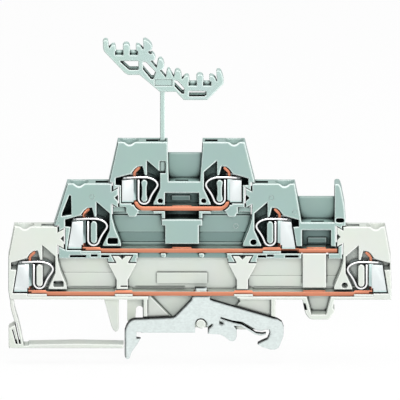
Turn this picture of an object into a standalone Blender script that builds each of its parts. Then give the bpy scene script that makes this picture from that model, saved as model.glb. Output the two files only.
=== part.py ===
"""Triple level terminal block: a 5 mm slice for a 35 mm rail, with its open side at -Y.

X runs along the block's length, Z is up, Y is the slice's thickness. The origin is the middle of the
rail seat. Sizes are in millimetres and become metres in one place, the function to_metres.
"""

import math

import bmesh
import bpy

# Whole slice
THICKNESS = 5.0
BACK_WALL = 1.0
BACK_DROP = 0.3
GAP = 0.3
RIM = 0.12
FRONT = -THICKNESS / 2
BACK = THICKNESS / 2
FLOOR = BACK - BACK_WALL

# Levels: height of each bar's upper face over the rail seat
LOWER_BAR_TOP = 12.05
MIDDLE_RISE = 12.15
UPPER_RISE = 11.7
TOWER_RISE = 18.0

# Place of the upper clamping points: half distance between their springs' upright legs
MIDDLE_LINE = -5.4
UPPER_LEG = 11.65

# Copper bars
BAR_THICKNESS = 0.95
BAR_WIDTH = 3.0
BAR_FRONT = FRONT + 0.4
BAR_BACK = BAR_FRONT + BAR_WIDTH
BAR_STEP = 0.4
UPPER_BAR_DROP = 0.22
CURL_RADIUS = 2.4
TONGUE_WIDTH = 1.7
TONGUE_FRONT = -1.1
TONGUE_NEAR = 0.7
TONGUE_THICKNESS = 0.8

# Clamp springs, in the frame of a clamping point: x inward from the upright leg, z up from the bar
SPRING_THICKNESS = 0.42
SPRING_WIDTH = 3.2
SPRING_FRONT = FRONT + 0.35
LOOP_WIDTH = 3.0
LOOP_BULGE = 5.12
SPRING_TOP = 8.0
SPRING_REACH = 3.15
WINDOW_LENGTH = 2.6
LOOP_STEPS = 3
MANDREL_GAP = 0.42

# Conductor pockets
POCKET_OUTER = 4.45
POCKET_INNER = 1.35
POCKET_TOP = 7.33
POCKET_SHEET = 0.4
POCKET_FRONT = FRONT + 0.3
POCKET_BACK = FLOOR - GAP
POCKET_JOGGLE = 0.35
STRIP_EDGE = 0.62

# Clamping point, hollow in the housing
CELL_INNER = 5.7
INNER_WALL = 0.65
CELL_SHOULDER = 6.2
WEDGE = 2.25
WEDGE_FOOT = 8.65
FUNNEL_X = -2.45
FUNNEL_Y = -0.25
FUNNEL_RADIUS = 1.5
FUNNEL_MOUTH = 2.6
FUNNEL_DEPTH = 2.2
DRIVER_WIDTH = 3.4
DRIVER_DEPTH = 1.8
DRIVER_FRONT = -1.6
FOOT_WIDTH = 8.85

# Fishtail joints between the levels
FISH_BASE = CELL_INNER + INNER_WALL
FISH_REACH = 1.7
FISH_TIP = 2.8
FISH_NECK = 1.83
FISH_RELIEF = 0.9
FISH_RISE = 14.0
MIDDLE_STEP = FISH_BASE + FISH_REACH + 5.55
LOWER_STEP = FISH_BASE + FISH_REACH + 6.55

# Upper level
UPPER_BOTTOM = 33.75
GAP_FLOOR = 42.8
CROSS_BAR = 3.2
BAY_WIDTH = 9.1
SKIRT = 1.0
SKIRT_BOTTOM = 32.4
UPPER_PANEL_TOP = 49.6

# Middle level
MIDDLE_BOTTOM = 21.1
TAB_WIDTH = 9.2
TAB_EAR = 0.9
TAB_EAR_HEIGHT = 1.7
SIDE_BAY_LEFT = MIDDLE_LINE + UPPER_LEG + MIDDLE_STEP + 7.15
SIDE_BAY_WIDTH = 7.7
JUMPER_BAY = SIDE_BAY_WIDTH + 2.3
SIDE_GAP_FLOOR = 31.3
SIDE_CROSS_BAR = 2.15
SIDE_PANEL_TOP = 37.3
END_POST_TOP = 42.1

# Lower level
LOWER_BOTTOM = 9.5
POST_HALF = 1.55
POST_NECK_HALF = 1.7
POST_TIP_HALF = 2.7
POST_SHOULDER = 3.8
PRONG_HALF = 3.9
PRONG_DROP = 1.0
LEFT_POST = -21.5
RIGHT_POST = 10.9
LOWER_TAB_LEFT = 27.1
LOWER_TAB_WIDTH = 6.4

# Metal foot on the rail
FOOT_FRONT = -1.9
FOOT_THICKNESS = 1.3
FOOT_BACK = FOOT_FRONT + FOOT_THICKNESS
WEB_FRONT = FOOT_BACK + GAP
PIN_X = -0.27
PIN_Z = 2.5
PIN_RADIUS = 1.25
APEX_LEFT = -2.75
APEX_RIGHT = 2.2
FOOT_TONGUE = (-1.9, 1.3)
FOOT_TONGUE_FRONT = -1.35
FOOT_TONGUE_BACK = -0.75
HOOK_LEFT = -20.8

# Release strip and its leg
LEG_THICKNESS = 1.0
STRIP_TOP = -3.3
STRIP_THICKNESS = 1.05
STRIP_FRONT = -2.1
STRIP_BACK = 2.1

# Marker carrier
MARKER_POST_X = -10.6
MARKER_POST_WIDTH = 1.3
MARKER_POST_FRONT = -1.4
MARKER_POST_THICKNESS = 2.0
MARKER_PLAY = 0.2
MARKER_INSERTION = 8.5
MARKER_BOTTOM = 67.8
CARRIER_FRONT = -1.6
CARRIER_THICKNESS = 2.4

MILLIMETRE = 0.001
PARTS = "triple_level_terminal_block"
CUTTERS = "cutters"

MIDDLE_BAR_TOP = LOWER_BAR_TOP + MIDDLE_RISE
UPPER_BAR_TOP = MIDDLE_BAR_TOP + UPPER_RISE
BAR_END = POCKET_INNER + 0.15
BAR_DEPTH = BAR_STEP + BAR_THICKNESS + GAP
BAY_LEFT = MIDDLE_LINE - BAY_WIDTH / 2
BAY_RIGHT = MIDDLE_LINE + BAY_WIDTH / 2

COLOURS = {
    "grey_housing": ((0.42, 0.53, 0.49, 1.0), 0.5, 0.0),
    "pale_housing": ((0.76, 0.79, 0.75, 1.0), 0.5, 0.0),
    "copper": ((0.80, 0.27, 0.16, 1.0), 0.35, 1.0),
    "spring_steel": ((0.80, 0.81, 0.82, 1.0), 0.25, 1.0),
    "tinned_sheet": ((0.85, 0.87, 0.88, 1.0), 0.35, 1.0),
    "nickel_plated": ((0.72, 0.76, 0.77, 1.0), 0.4, 1.0),
}


class ClampingPoint:
    """One spring clamp: its place and which way is inward (1 is +X)."""

    def __init__(self, name, leg_x, bar_top, inward, flare, floor, top_out, foot_out):
        self.name = name
        self.x = leg_x
        self.z = bar_top
        self.inward = inward
        self.flare = flare
        self.floor = floor
        self.top_out = top_out
        self.foot_out = foot_out
        self.top = bar_top + TOWER_RISE

    def at(self, x, z):
        """World point of a point given in the clamp's own frame."""
        return (self.x + self.inward * x, self.z + z)

    def across(self, x):
        return self.x + self.inward * x

    def loop(self, points):
        return [self.at(x, z) for x, z in points]


UPPER_LEFT = ClampingPoint(
    "upper_left", MIDDLE_LINE - UPPER_LEG, UPPER_BAR_TOP, 1, 0.0, 0.7, 5.6, 7.8
)
UPPER_RIGHT = ClampingPoint(
    "upper_right", MIDDLE_LINE + UPPER_LEG, UPPER_BAR_TOP, -1, 0.0, 0.7, 5.3, 7.5
)
MIDDLE_LEFT = ClampingPoint(
    "middle_left", UPPER_LEFT.x - MIDDLE_STEP, MIDDLE_BAR_TOP, 1, 1.0, -0.8, 5.6, 9.2
)
MIDDLE_RIGHT = ClampingPoint(
    "middle_right", UPPER_RIGHT.x + MIDDLE_STEP, MIDDLE_BAR_TOP, -1, 1.0, -0.8, 5.2, 7.0
)
LOWER_LEFT = ClampingPoint(
    "lower_left", MIDDLE_LEFT.x - LOWER_STEP, LOWER_BAR_TOP, 1, 1.0, -0.8, 5.3, 6.9
)
LOWER_RIGHT = ClampingPoint(
    "lower_right",
    MIDDLE_RIGHT.x + LOWER_STEP + JUMPER_BAY,
    LOWER_BAR_TOP,
    -1,
    1.0,
    -0.8,
    4.9,
    6.5,
)
CLAMPS = [UPPER_LEFT, UPPER_RIGHT, MIDDLE_LEFT, MIDDLE_RIGHT, LOWER_LEFT, LOWER_RIGHT]
FISH_CENTRE = {
    "middle_left": MIDDLE_BAR_TOP + FISH_RISE,
    "middle_right": MIDDLE_BAR_TOP + FISH_RISE,
    "lower_left": LOWER_BAR_TOP + FISH_RISE + 0.6,
    "lower_right": LOWER_BAR_TOP + FISH_RISE + 1.2,
}


def to_metres(values):
    return [value * MILLIMETRE for value in values]


def clear_scene():
    for old in list(bpy.data.objects):
        bpy.data.objects.remove(old, do_unlink=True)


def make_collections():
    for name in (PARTS, CUTTERS):
        collection = bpy.data.collections.new(name)
        bpy.context.scene.collection.children.link(collection)
    bpy.data.collections[CUTTERS].hide_render = True


def material(name):
    """Principled material of one of the block's finishes."""
    found = bpy.data.materials.get(name)
    if found:
        return found
    colour, roughness, metallic = COLOURS[name]
    made = bpy.data.materials.new(name)
    made.use_nodes = True
    shader = made.node_tree.nodes["Principled BSDF"]
    shader.inputs["Base Color"].default_value = colour
    shader.inputs["Roughness"].default_value = roughness
    shader.inputs["Metallic"].default_value = metallic
    made.diffuse_color = colour
    return made


def arc(centre, radius, start, end, steps):
    """Points of an arc in the XZ plane, angles in degrees from +X towards +Z."""
    points = []
    for step in range(steps + 1):
        angle = math.radians(start + (end - start) * step / steps)
        points.append((centre[0] + radius * math.cos(angle), centre[1] + radius * math.sin(angle)))
    return points


def circle(centre, radius, steps=20):
    return arc(centre, radius, 0, 360, steps)[:-1]


def rectangle(left, bottom, right, top):
    return [(left, bottom), (right, bottom), (right, top), (left, top)]


def smooth(points, steps):
    """A Catmull-Rom curve through the points, without its last point."""
    first = (2 * points[0][0] - points[1][0], 2 * points[0][1] - points[1][1])
    last = (2 * points[-1][0] - points[-2][0], 2 * points[-1][1] - points[-2][1])
    padded = [first, *points, last]
    curve = []
    for index in range(1, len(padded) - 2):
        before, start, end, after = padded[index - 1 : index + 3]
        for step in range(steps):
            t = step / steps
            curve.append(
                tuple(
                    0.5
                    * (
                        2 * start[axis]
                        + (end[axis] - before[axis]) * t
                        + (2 * before[axis] - 5 * start[axis] + 4 * end[axis] - after[axis]) * t**2
                        + (3 * start[axis] - before[axis] - 3 * end[axis] + after[axis]) * t**3
                    )
                    for axis in (0, 1)
                )
            )
    return curve


def ribbon(path, thickness):
    """Outline of a strip of even thickness that follows a path."""
    left, right = [], []
    for index, (x, z) in enumerate(path):
        ahead = path[min(index + 1, len(path) - 1)]
        behind = path[max(index - 1, 0)]
        run = (ahead[0] - behind[0], ahead[1] - behind[1])
        length = math.hypot(*run)
        normal = (-run[1] / length, run[0] / length)
        half = thickness / 2
        left.append((x + normal[0] * half, z + normal[1] * half))
        right.append((x - normal[0] * half, z - normal[1] * half))
    return left + right[::-1]


def slab(name, loops, front, back, rim=0.0, origin=(0.0, 0.0)):
    """A mesh object from closed XZ outlines, filled and extruded from front to back along Y."""
    data = bpy.data.curves.new(name, "CURVE")
    data.dimensions = "2D"
    data.fill_mode = "BOTH"
    data.extrude = ((back - front) / 2 - rim) * MILLIMETRE
    data.bevel_depth = rim * MILLIMETRE
    data.bevel_resolution = 0
    data.offset = -rim * MILLIMETRE
    for loop in loops:
        spline = data.splines.new("POLY")
        spline.points.add(len(loop) - 1)
        spline.use_cyclic_u = True
        for point, (x, z) in zip(spline.points, loop):
            point.co = (*to_metres((x - origin[0], z - origin[1])), 0.0, 1.0)
    curve = bpy.data.objects.new(name + "_outline", data)
    bpy.context.scene.collection.objects.link(curve)
    evaluated = curve.evaluated_get(bpy.context.evaluated_depsgraph_get())
    mesh = bpy.data.meshes.new_from_object(evaluated)
    bpy.data.objects.remove(curve)
    layers = to_metres((front, front + rim, back - rim, back))
    middle = (layers[0] + layers[3]) / 2
    welded = bmesh.new()
    welded.from_mesh(mesh)
    corners = [to_metres((x - origin[0], z - origin[1])) for loop in loops for x, z in loop]
    for vertex in welded.verts:
        x, z, depth = vertex.co
        y = min(layers, key=lambda y: abs(y - middle - depth))
        if rim == 0 or y in layers[1:3]:
            x, z = min(corners, key=lambda corner: math.hypot(corner[0] - x, corner[1] - z))
        vertex.co = (x, y, z)
    bmesh.ops.remove_doubles(welded, verts=welded.verts, dist=0.002 * MILLIMETRE)
    for _ in range(6):
        slivers = [face for face in welded.faces if face.calc_area() < 0.0001 * MILLIMETRE**2]
        longest = {max(face.edges, key=lambda edge: edge.calc_length()) for face in slivers}
        bmesh.ops.dissolve_edges(welded, edges=list(longest), use_verts=False)
    bmesh.ops.dissolve_limit(
        welded, angle_limit=0.001, use_dissolve_boundaries=False, verts=welded.verts, edges=welded.edges
    )
    bmesh.ops.recalc_face_normals(welded, faces=welded.faces)
    welded.to_mesh(mesh)
    welded.free()
    made = bpy.data.objects.new(name, mesh)
    made.location = to_metres((origin[0], 0.0, origin[1]))
    return made


def add_part(made, finish, parent=None):
    """Puts an object among the block's parts, with its finish."""
    bpy.data.collections[PARTS].objects.link(made)
    made.data.materials.clear()
    made.data.materials.append(material(finish))
    if parent:
        made.parent = parent
        made.matrix_parent_inverse = parent.matrix_world.inverted()
    return made


def add_cutter(made):
    bpy.data.collections[CUTTERS].objects.link(made)
    made.hide_render = True
    made.display_type = "WIRE"
    return made


def combine(target, tool, operation):
    modifier = target.modifiers.new(tool.name, "BOOLEAN")
    modifier.object = add_cutter(tool)
    modifier.operation = operation
    modifier.solver = "EXACT"


def cut(target, tool):
    combine(target, tool, "DIFFERENCE")


def join(target, tool):
    combine(target, tool, "UNION")


def cone(name, centre, radius_low, radius_high, low, high, sides=24):
    """An upright cone or cylinder at (x, y), from low to high."""
    shape = bmesh.new()
    bmesh.ops.create_cone(
        shape,
        cap_ends=True,
        segments=sides,
        radius1=radius_low * MILLIMETRE,
        radius2=radius_high * MILLIMETRE,
        depth=(high - low) * MILLIMETRE,
    )
    bmesh.ops.translate(
        shape, verts=shape.verts, vec=to_metres((centre[0], centre[1], (low + high) / 2))
    )
    mesh = bpy.data.meshes.new(name)
    shape.to_mesh(mesh)
    shape.free()
    return bpy.data.objects.new(name, mesh)


def box(name, low, high):
    return slab(name, [rectangle(low[0], low[2], high[0], high[2])], low[1], high[1])


# Outlines that several pieces share


def cell_hollow(clamp):
    """The hollow of one clamping point, open at the front."""
    outer = POCKET_OUTER + GAP
    return clamp.loop(
        [
            (0.95, SPRING_TOP + 3.25),
            (1.6, WEDGE_FOOT),
            (WEDGE, WEDGE_FOOT),
            (WEDGE, WEDGE_FOOT + 4.05),
            (CELL_INNER, WEDGE_FOOT + 0.95),
            (CELL_INNER, 4.9),
            (CELL_INNER - 1.8, 0.85),
            (CELL_INNER - 1.8, GAP),
            (-BAR_END - GAP, GAP),
            (-BAR_END - GAP, clamp.floor),
            (-outer - clamp.flare, clamp.floor),
            (-outer, 5.75),
            (-CELL_SHOULDER, 5.9),
            (-CELL_SHOULDER, SPRING_TOP - 0.15),
            (-2.0, SPRING_TOP + 1.05),
            (-1.1, SPRING_TOP + 2.4),
            (-0.2, SPRING_TOP + 3.1),
        ]
    )


def mandrel(clamp, waist):
    """The post inside the spring's loop, with its waist narrower on the upper level."""
    half = (LOOP_WIDTH - SPRING_THICKNESS) / 2 - MANDREL_GAP
    middle = LOOP_WIDTH / 2
    low = SPRING_THICKNESS + GAP + MANDREL_GAP + half
    high = SPRING_TOP - SPRING_THICKNESS / 2 - MANDREL_GAP - half
    points = arc((middle, low), half, 180, 360, 8)
    points += [(middle + half - waist, low + 1.2), (middle + half - waist, high - 1.2)]
    points += arc((middle, high), half, 0, 180, 8)
    points += [(middle - half + waist, high - 1.2), (middle - half + waist, low + 1.2)]
    return clamp.loop(points)


def fish_tongue(clamp):
    """Fishtail tongue at the inner side of an outer tower, from its upper root to its lower root."""
    centre = FISH_CENTRE[clamp.name] - clamp.z
    tip = FISH_BASE + FISH_REACH
    return clamp.loop(
        [
            (FISH_BASE, centre + FISH_NECK),
            (tip, centre + FISH_TIP),
            (tip, centre + FISH_RELIEF),
            (tip - FISH_RELIEF, centre),
            (tip, centre - FISH_RELIEF),
            (tip, centre - FISH_TIP),
            (FISH_BASE, centre - FISH_NECK),
        ]
    )


def fish_socket(clamp):
    """The socket that takes the tongue, in the housing of the level above."""
    centre = FISH_CENTRE[clamp.name] - clamp.z
    mouth = FISH_BASE + GAP
    tip = mouth + FISH_REACH
    return clamp.loop(
        [
            (mouth, centre + FISH_NECK + GAP),
            (tip, centre + FISH_TIP + GAP),
            (tip, centre - FISH_TIP - GAP),
            (mouth, centre - FISH_NECK - GAP),
        ]
    )


def a_support(clamp):
    """Inner side of the A shaped support beside a clamping point, from the tongue down to the beam."""
    return clamp.loop(
        [
            (FISH_BASE + 0.1, 8.3),
            (FISH_BASE + 0.85, 5.4),
            (FOOT_WIDTH, 1.2),
            (FOOT_WIDTH, -BAR_DEPTH),
        ]
    )


def support_hole(clamp, rounded):
    """Hole in the foot of an A shaped support."""
    room = FOOT_WIDTH - CELL_INNER
    middle = CELL_INNER + 0.28 * room
    if rounded:
        return circle(clamp.at(middle - 0.19 * room, 1.5), 0.8, 16)
    half = 0.43 * room
    corner = 0.45
    low, high = 0.95, 2.7
    points = arc((middle + half - corner, low + corner), corner, -90, 0, 3)
    points += arc((middle + half - corner, high - corner), corner, 0, 90, 3)
    points += arc((middle - half + corner, high - corner), corner, 90, 180, 3)
    points += arc((middle - half + corner, low + corner), corner, 180, 270, 3)
    return clamp.loop(points)


def bar_channel(name, left, right, bar_top):
    """The slot that a bar lies in, with clearance all round."""
    return box(
        name,
        (left - GAP, FRONT - 1.0, bar_top - BAR_DEPTH),
        (right + GAP, BAR_BACK + GAP, bar_top + GAP + 0.1),
    )


def cut_tower(housing, clamp):
    """Wire funnel and driver slot from the top of a tower down into its clamping point."""
    x = clamp.across(FUNNEL_X)
    tag = "_" + clamp.name
    bore_low = clamp.z + SPRING_TOP - 0.3
    cut(
        housing,
        cone(
            "wire_bore" + tag,
            (x, FUNNEL_Y),
            FUNNEL_RADIUS,
            FUNNEL_RADIUS,
            bore_low,
            clamp.top - FUNNEL_DEPTH + 0.1,
        ),
    )
    over = 0.5
    slope = (FUNNEL_MOUTH - FUNNEL_RADIUS) / FUNNEL_DEPTH
    cut(
        housing,
        cone(
            "wire_funnel" + tag,
            (x, FUNNEL_Y),
            FUNNEL_RADIUS,
            FUNNEL_MOUTH + over * slope,
            clamp.top - FUNNEL_DEPTH,
            clamp.top + over,
        ),
    )
    near = clamp.across(WEDGE - 0.25)
    far = clamp.across(WEDGE - 0.25 + DRIVER_WIDTH)
    cut(
        housing,
        box(
            "driver_slot" + tag,
            (min(near, far), DRIVER_FRONT, clamp.z + WEDGE_FOOT + 0.2),
            (max(near, far), DRIVER_FRONT + DRIVER_DEPTH, clamp.top + 1.0),
        ),
    )


# Housings


def jumper_slot(name, centre, low, high):
    """Slot through a cross bar, for the jumper's blade."""
    half = 1.75
    return box(name, (centre - half, -1.7, low), (centre + half, -0.7, high))


def upper_side(clamp, tower_foot):
    """Outer side of an upper tower, from its top down to the level's lower edge."""
    return [
        clamp.at(-clamp.top_out, TOWER_RISE),
        (tower_foot.across(FISH_BASE - 0.75), tower_foot.top + GAP),
        (tower_foot.across(FISH_BASE + GAP), tower_foot.top + GAP),
        *fish_socket(tower_foot),
        (tower_foot.across(FISH_BASE + GAP), UPPER_BOTTOM),
    ]


def build_upper_housing(parent):
    """Top level: two towers, the centre jumper bay and the channel of the marker carrier's post."""
    left, right = UPPER_LEFT, UPPER_RIGHT
    bay_top = GAP_FLOOR - CROSS_BAR
    top = left.top
    bay = [
        (BAY_LEFT - SKIRT, UPPER_BOTTOM),
        (BAY_LEFT - SKIRT, SKIRT_BOTTOM),
        (BAY_LEFT, SKIRT_BOTTOM),
        (BAY_LEFT, bay_top),
    ]
    bay_mirrored = [(2 * MIDDLE_LINE - x, z) for x, z in reversed(bay)]
    gap_left = (left.across(CELL_INNER + 2.4), GAP_FLOOR)
    gap_right = (right.across(CELL_INNER + 1.1), GAP_FLOOR)
    front_outline = [
        *upper_side(left, MIDDLE_LEFT),
        *bay,
        *bay_mirrored,
        *reversed(upper_side(right, MIDDLE_RIGHT)),
        (right.across(CELL_INNER + 0.35), top),
        gap_right,
        gap_left,
        (left.across(CELL_INNER + 2.1), top),
    ]
    holes = [
        cell_hollow(left),
        cell_hollow(right),
        mandrel(left, 0.22),
        mandrel(right, 0.22),
        circle(left.at(CELL_INNER + 0.1, 1.45), 0.65, 16),
        circle(right.at(CELL_INNER + 0.1, 1.45), 0.65, 16),
    ]
    housing = slab("upper_housing", [front_outline, *holes], FRONT, FLOOR + 0.2, RIM)
    back_outline = [
        left.at(-left.top_out, TOWER_RISE - BACK_DROP),
        *upper_side(left, MIDDLE_LEFT)[1:-1],
        (MIDDLE_LEFT.across(FISH_BASE + GAP), SKIRT_BOTTOM),
        (MIDDLE_RIGHT.across(FISH_BASE + GAP), SKIRT_BOTTOM),
        *list(reversed(upper_side(right, MIDDLE_RIGHT)))[1:-1],
        right.at(-right.top_out, TOWER_RISE - BACK_DROP),
        (right.across(CELL_INNER + 0.35), top - BACK_DROP),
        (right.across(CELL_INNER + 0.6), UPPER_PANEL_TOP),
        (left.across(CELL_INNER + 2.2), UPPER_PANEL_TOP),
        (left.across(CELL_INNER + 2.1), top - BACK_DROP),
    ]
    join(housing, slab("upper_back", [back_outline], FLOOR, BACK))
    for clamp in (left, right):
        finger_x = clamp.across(-POCKET_INNER - 0.4)
        finger = arc((finger_x - 0.6, UPPER_BOTTOM - 0.2), 0.7, 180, 270, 3)
        finger += arc((finger_x + 0.6, UPPER_BOTTOM - 0.2), 0.7, 270, 360, 3)
        finger += [(finger_x + 1.3, UPPER_BOTTOM + 1.6), (finger_x - 1.3, UPPER_BOTTOM + 1.6)]
        edges = (
            (-FISH_BASE - 1.2, -POCKET_INNER - 2.1, -0.35),
            (-POCKET_INNER + 1.3, 3.9, -UPPER_BAR_DROP - BAR_THICKNESS - GAP + 0.1),
        )
        for index, (far, near, high) in enumerate(edges):
            sides = sorted((clamp.across(far), clamp.across(near)))
            cut(
                housing,
                box(
                    f"under_recess_{clamp.name}_{index}",
                    (sides[0], FRONT - 1.0, UPPER_BOTTOM - 1.0),
                    (sides[1], FRONT + 1.6, clamp.z + high),
                ),
            )
        join(housing, slab("finger_" + clamp.name, [finger], FRONT, FLOOR - GAP, RIM))
    cut(housing, upper_bar_channel())
    for clamp in (left, right):
        cut_tower(housing, clamp)
    plate = rectangle(MIDDLE_LINE - 2.7, 36.45, MIDDLE_LINE + 2.2, 37.8)
    join(housing, slab("chute_plate", [plate], FLOOR - 0.5, FLOOR + 0.3))
    cut(housing, jumper_slot("upper_jumper_slot", MIDDLE_LINE, bay_top - 0.5, GAP_FLOOR + 1.0))
    post_half = MARKER_POST_WIDTH / 2 + MARKER_PLAY
    channel_low = top - MARKER_INSERTION - GAP
    cut(
        housing,
        box(
            "marker_channel",
            (MARKER_POST_X - post_half, MARKER_POST_FRONT - MARKER_PLAY, channel_low),
            (
                MARKER_POST_X + post_half,
                MARKER_POST_FRONT + MARKER_POST_THICKNESS + MARKER_PLAY,
                top + 1.0,
            ),
        ),
    )
    cut(
        housing,
        box(
            "marker_window",
            (MARKER_POST_X - post_half + 0.05, FRONT - 1.0, channel_low + 0.05),
            (MARKER_POST_X + post_half - 0.05, MARKER_POST_FRONT, channel_low + 3.4),
        ),
    )
    return add_part(housing, "grey_housing", parent)


def tower_with_support(clamp):
    """Outline of a tower of the middle or lower level, from its top outer corner to the beam."""
    return [
        clamp.at(-clamp.top_out, TOWER_RISE),
        (clamp.across(FISH_BASE), clamp.top),
        *fish_tongue(clamp),
        *a_support(clamp),
    ]


def post_socket(centre):
    """Fishtail socket in the lower edge of the middle level, for a post of the lower level."""
    low = MIDDLE_BOTTOM - PRONG_DROP
    neck, tip = POST_NECK_HALF + GAP, POST_TIP_HALF + GAP
    high = low + FISH_REACH + GAP
    return [
        (centre - neck, low - 1.0),
        (centre + neck, low - 1.0),
        (centre + neck, low),
        (centre + tip, high),
        (centre - tip, high),
        (centre - neck, low),
    ]


def build_middle_housing(parent):
    """Middle level: two towers, the tray, the centre tab and the right jumper bay with its end post."""
    left, right = MIDDLE_LEFT, MIDDLE_RIGHT
    beam_top = MIDDLE_BAR_TOP - BAR_DEPTH
    bay_right = SIDE_BAY_LEFT + SIDE_BAY_WIDTH
    bay_top = SIDE_GAP_FLOOR - SIDE_CROSS_BAR
    left_edge = LOWER_LEFT.across(FISH_BASE + GAP)
    right_edge = LOWER_RIGHT.across(FISH_BASE + GAP)
    post_left = bay_right + 1.0
    left_side = [
        (left_edge, MIDDLE_BOTTOM),
        *reversed(fish_socket(LOWER_LEFT)),
        (left_edge, LOWER_LEFT.top + GAP),
        (LOWER_LEFT.across(FISH_BASE - 0.9), LOWER_LEFT.top + GAP),
    ]
    end_post = [
        (post_left, SIDE_GAP_FLOOR),
        (post_left, END_POST_TOP - 0.5),
        (post_left + 0.15, END_POST_TOP - 0.15),
        (post_left + 0.5, END_POST_TOP),
        (post_left + 1.15, END_POST_TOP),
        (post_left + 1.55, END_POST_TOP - 0.5),
        (post_left + 1.9, END_POST_TOP - 1.7),
        (post_left + 2.15, END_POST_TOP - 3.1),
        (post_left + 2.7, END_POST_TOP - 5.9),
        (post_left + 3.05, END_POST_TOP - 10.5),
        (post_left + 3.05, LOWER_RIGHT.top + GAP),
        (right_edge, LOWER_RIGHT.top + GAP),
    ]
    notch = [
        (bay_right - 0.6, MIDDLE_BOTTOM),
        (bay_right - 0.6, beam_top + 0.1),
        (SIDE_BAY_LEFT - 0.2, beam_top + 0.1),
        (SIDE_BAY_LEFT - 0.2, MIDDLE_BOTTOM),
    ]
    right_end = [*fish_socket(LOWER_RIGHT), (right_edge, MIDDLE_BOTTOM), *notch]
    front_outline = [
        *left_side,
        *tower_with_support(left),
        *reversed(tower_with_support(right)),
        right.at(-right.foot_out, SIDE_GAP_FLOOR - right.z),
        *end_post,
        *right_end,
    ]
    triangle = left.loop([(-5.1, 14.7), (-4.7, 14.6), (-4.6, 9.2), (-7.1, 8.75), (-7.0, 9.6)])
    side_bay = rectangle(SIDE_BAY_LEFT, beam_top + 0.6, bay_right, bay_top)
    holes = [
        cell_hollow(left),
        cell_hollow(right),
        mandrel(left, 0.0),
        mandrel(right, 0.0),
        support_hole(left, False),
        support_hole(right, True),
        triangle,
        side_bay,
        rounded_slot((post_left + 1.5, SIDE_GAP_FLOOR + 0.57), 1.1, 0.62),
    ]
    housing = slab("middle_housing", [front_outline, *holes], FRONT, FLOOR + 0.2, RIM)
    back_top = SKIRT_BOTTOM - GAP
    back_outline = [
        *left_side,
        left.at(-left.top_out, TOWER_RISE - BACK_DROP),
        (left.across(FISH_BASE), left.top - BACK_DROP),
        *fish_tongue(left),
        (left.across(FISH_BASE), back_top),
        (right.across(FISH_BASE), back_top),
        *reversed(fish_tongue(right)),
        (right.across(FISH_BASE), right.top - BACK_DROP),
        right.at(-right.top_out, TOWER_RISE - BACK_DROP),
        right.at(-right.foot_out + 0.9, SIDE_PANEL_TOP - right.z),
        (post_left + 0.2, SIDE_PANEL_TOP),
        *end_post[1:],
        *right_end,
    ]
    join(housing, slab("middle_back", [back_outline], FLOOR, BACK))
    half = TAB_WIDTH / 2
    ear = half + TAB_EAR
    tab_low = MIDDLE_BAR_TOP + 1.05
    ear_low = back_top - TAB_EAR_HEIGHT
    tab = [
        (MIDDLE_LINE - half, tab_low),
        (MIDDLE_LINE + half, tab_low),
        (MIDDLE_LINE + half, ear_low),
        (MIDDLE_LINE + ear, ear_low),
        (MIDDLE_LINE + ear, back_top),
        (MIDDLE_LINE - ear, back_top),
        (MIDDLE_LINE - ear, ear_low),
        (MIDDLE_LINE - half, ear_low),
    ]
    join(housing, slab("middle_tab", [tab], FRONT, FLOOR + 0.5, RIM))
    prongs = []
    for centre in (LEFT_POST, RIGHT_POST):
        low = MIDDLE_BOTTOM - PRONG_DROP
        prongs.append(rectangle(centre - PRONG_HALF, low, centre + PRONG_HALF, low + 1.6))
    join(housing, slab("prongs", prongs, FRONT, FLOOR - GAP, RIM))
    sockets = [post_socket(centre) for centre in (LEFT_POST, RIGHT_POST)]
    cut(housing, slab("post_sockets", sockets, FRONT - 1.0, FLOOR))
    step_end = [(FOOT_WIDTH - 0.05, 0.3), (FOOT_WIDTH - 0.05, 1.2), (FOOT_WIDTH - 0.86, 3.25)]
    step = left.loop(step_end) + right.loop(step_end[::-1])
    cut(housing, slab("tray_step", [step], 0.0, FLOOR + 0.3))
    join(housing, slab("middle_tab_root", [rectangle(
        MIDDLE_LINE - half, tab_low, MIDDLE_LINE + half, ear_low)], 0.0, BACK - 0.3))
    beam_marks = []
    for centre, width in ((-33.4, 4.4), (-26.1, 2.2), (16.2, 2.2), (24.2, 3.6)):
        beam_marks.append(
            rectangle(centre - width / 2, MIDDLE_BOTTOM + 0.3, centre + width / 2, MIDDLE_BOTTOM + 0.9)
        )
    for centre in (-29.05, 18.45):
        beam_marks.append(rectangle(centre - 0.9, beam_top - 0.95, centre + 0.9, beam_top - 0.35))
    cut(housing, slab("beam_marks", beam_marks, FRONT - 1.0, FRONT + 2.0))
    middle_beam = rectangle(
        LEFT_POST + PRONG_HALF + 0.3, MIDDLE_BOTTOM - 1, RIGHT_POST - PRONG_HALF - 0.3, beam_top + 0.5
    )
    cut(housing, slab("beam_recess", [middle_beam], FRONT - 1.0, FRONT + 1.0))
    pins = [circle((x, MIDDLE_BOTTOM + 0.95), 0.75, 16) for x in (-10.4, -0.1)]
    join(housing, slab("beam_pins", pins, FRONT, FRONT + 2.0))
    chute = rectangle(SIDE_BAY_LEFT + 1.6, 23.9, SIDE_BAY_LEFT + 6.5, 26.0)
    join(housing, slab("side_chute_plate", [chute], FLOOR - 0.5, FLOOR + 0.3))
    cut(
        housing,
        bar_channel(
            "middle_bar_channel",
            left.across(-BAR_END),
            SIDE_BAY_LEFT + SIDE_BAY_WIDTH + 1.8,
            MIDDLE_BAR_TOP,
        ),
    )
    for clamp in (left, right):
        cut_tower(housing, clamp)
    cut(
        housing,
        jumper_slot(
            "side_jumper_slot",
            SIDE_BAY_LEFT + SIDE_BAY_WIDTH / 2 + 0.3,
            bay_top - 0.5,
            SIDE_GAP_FLOOR + 1.0,
        ),
    )
    return add_part(housing, "grey_housing", parent)


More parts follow.
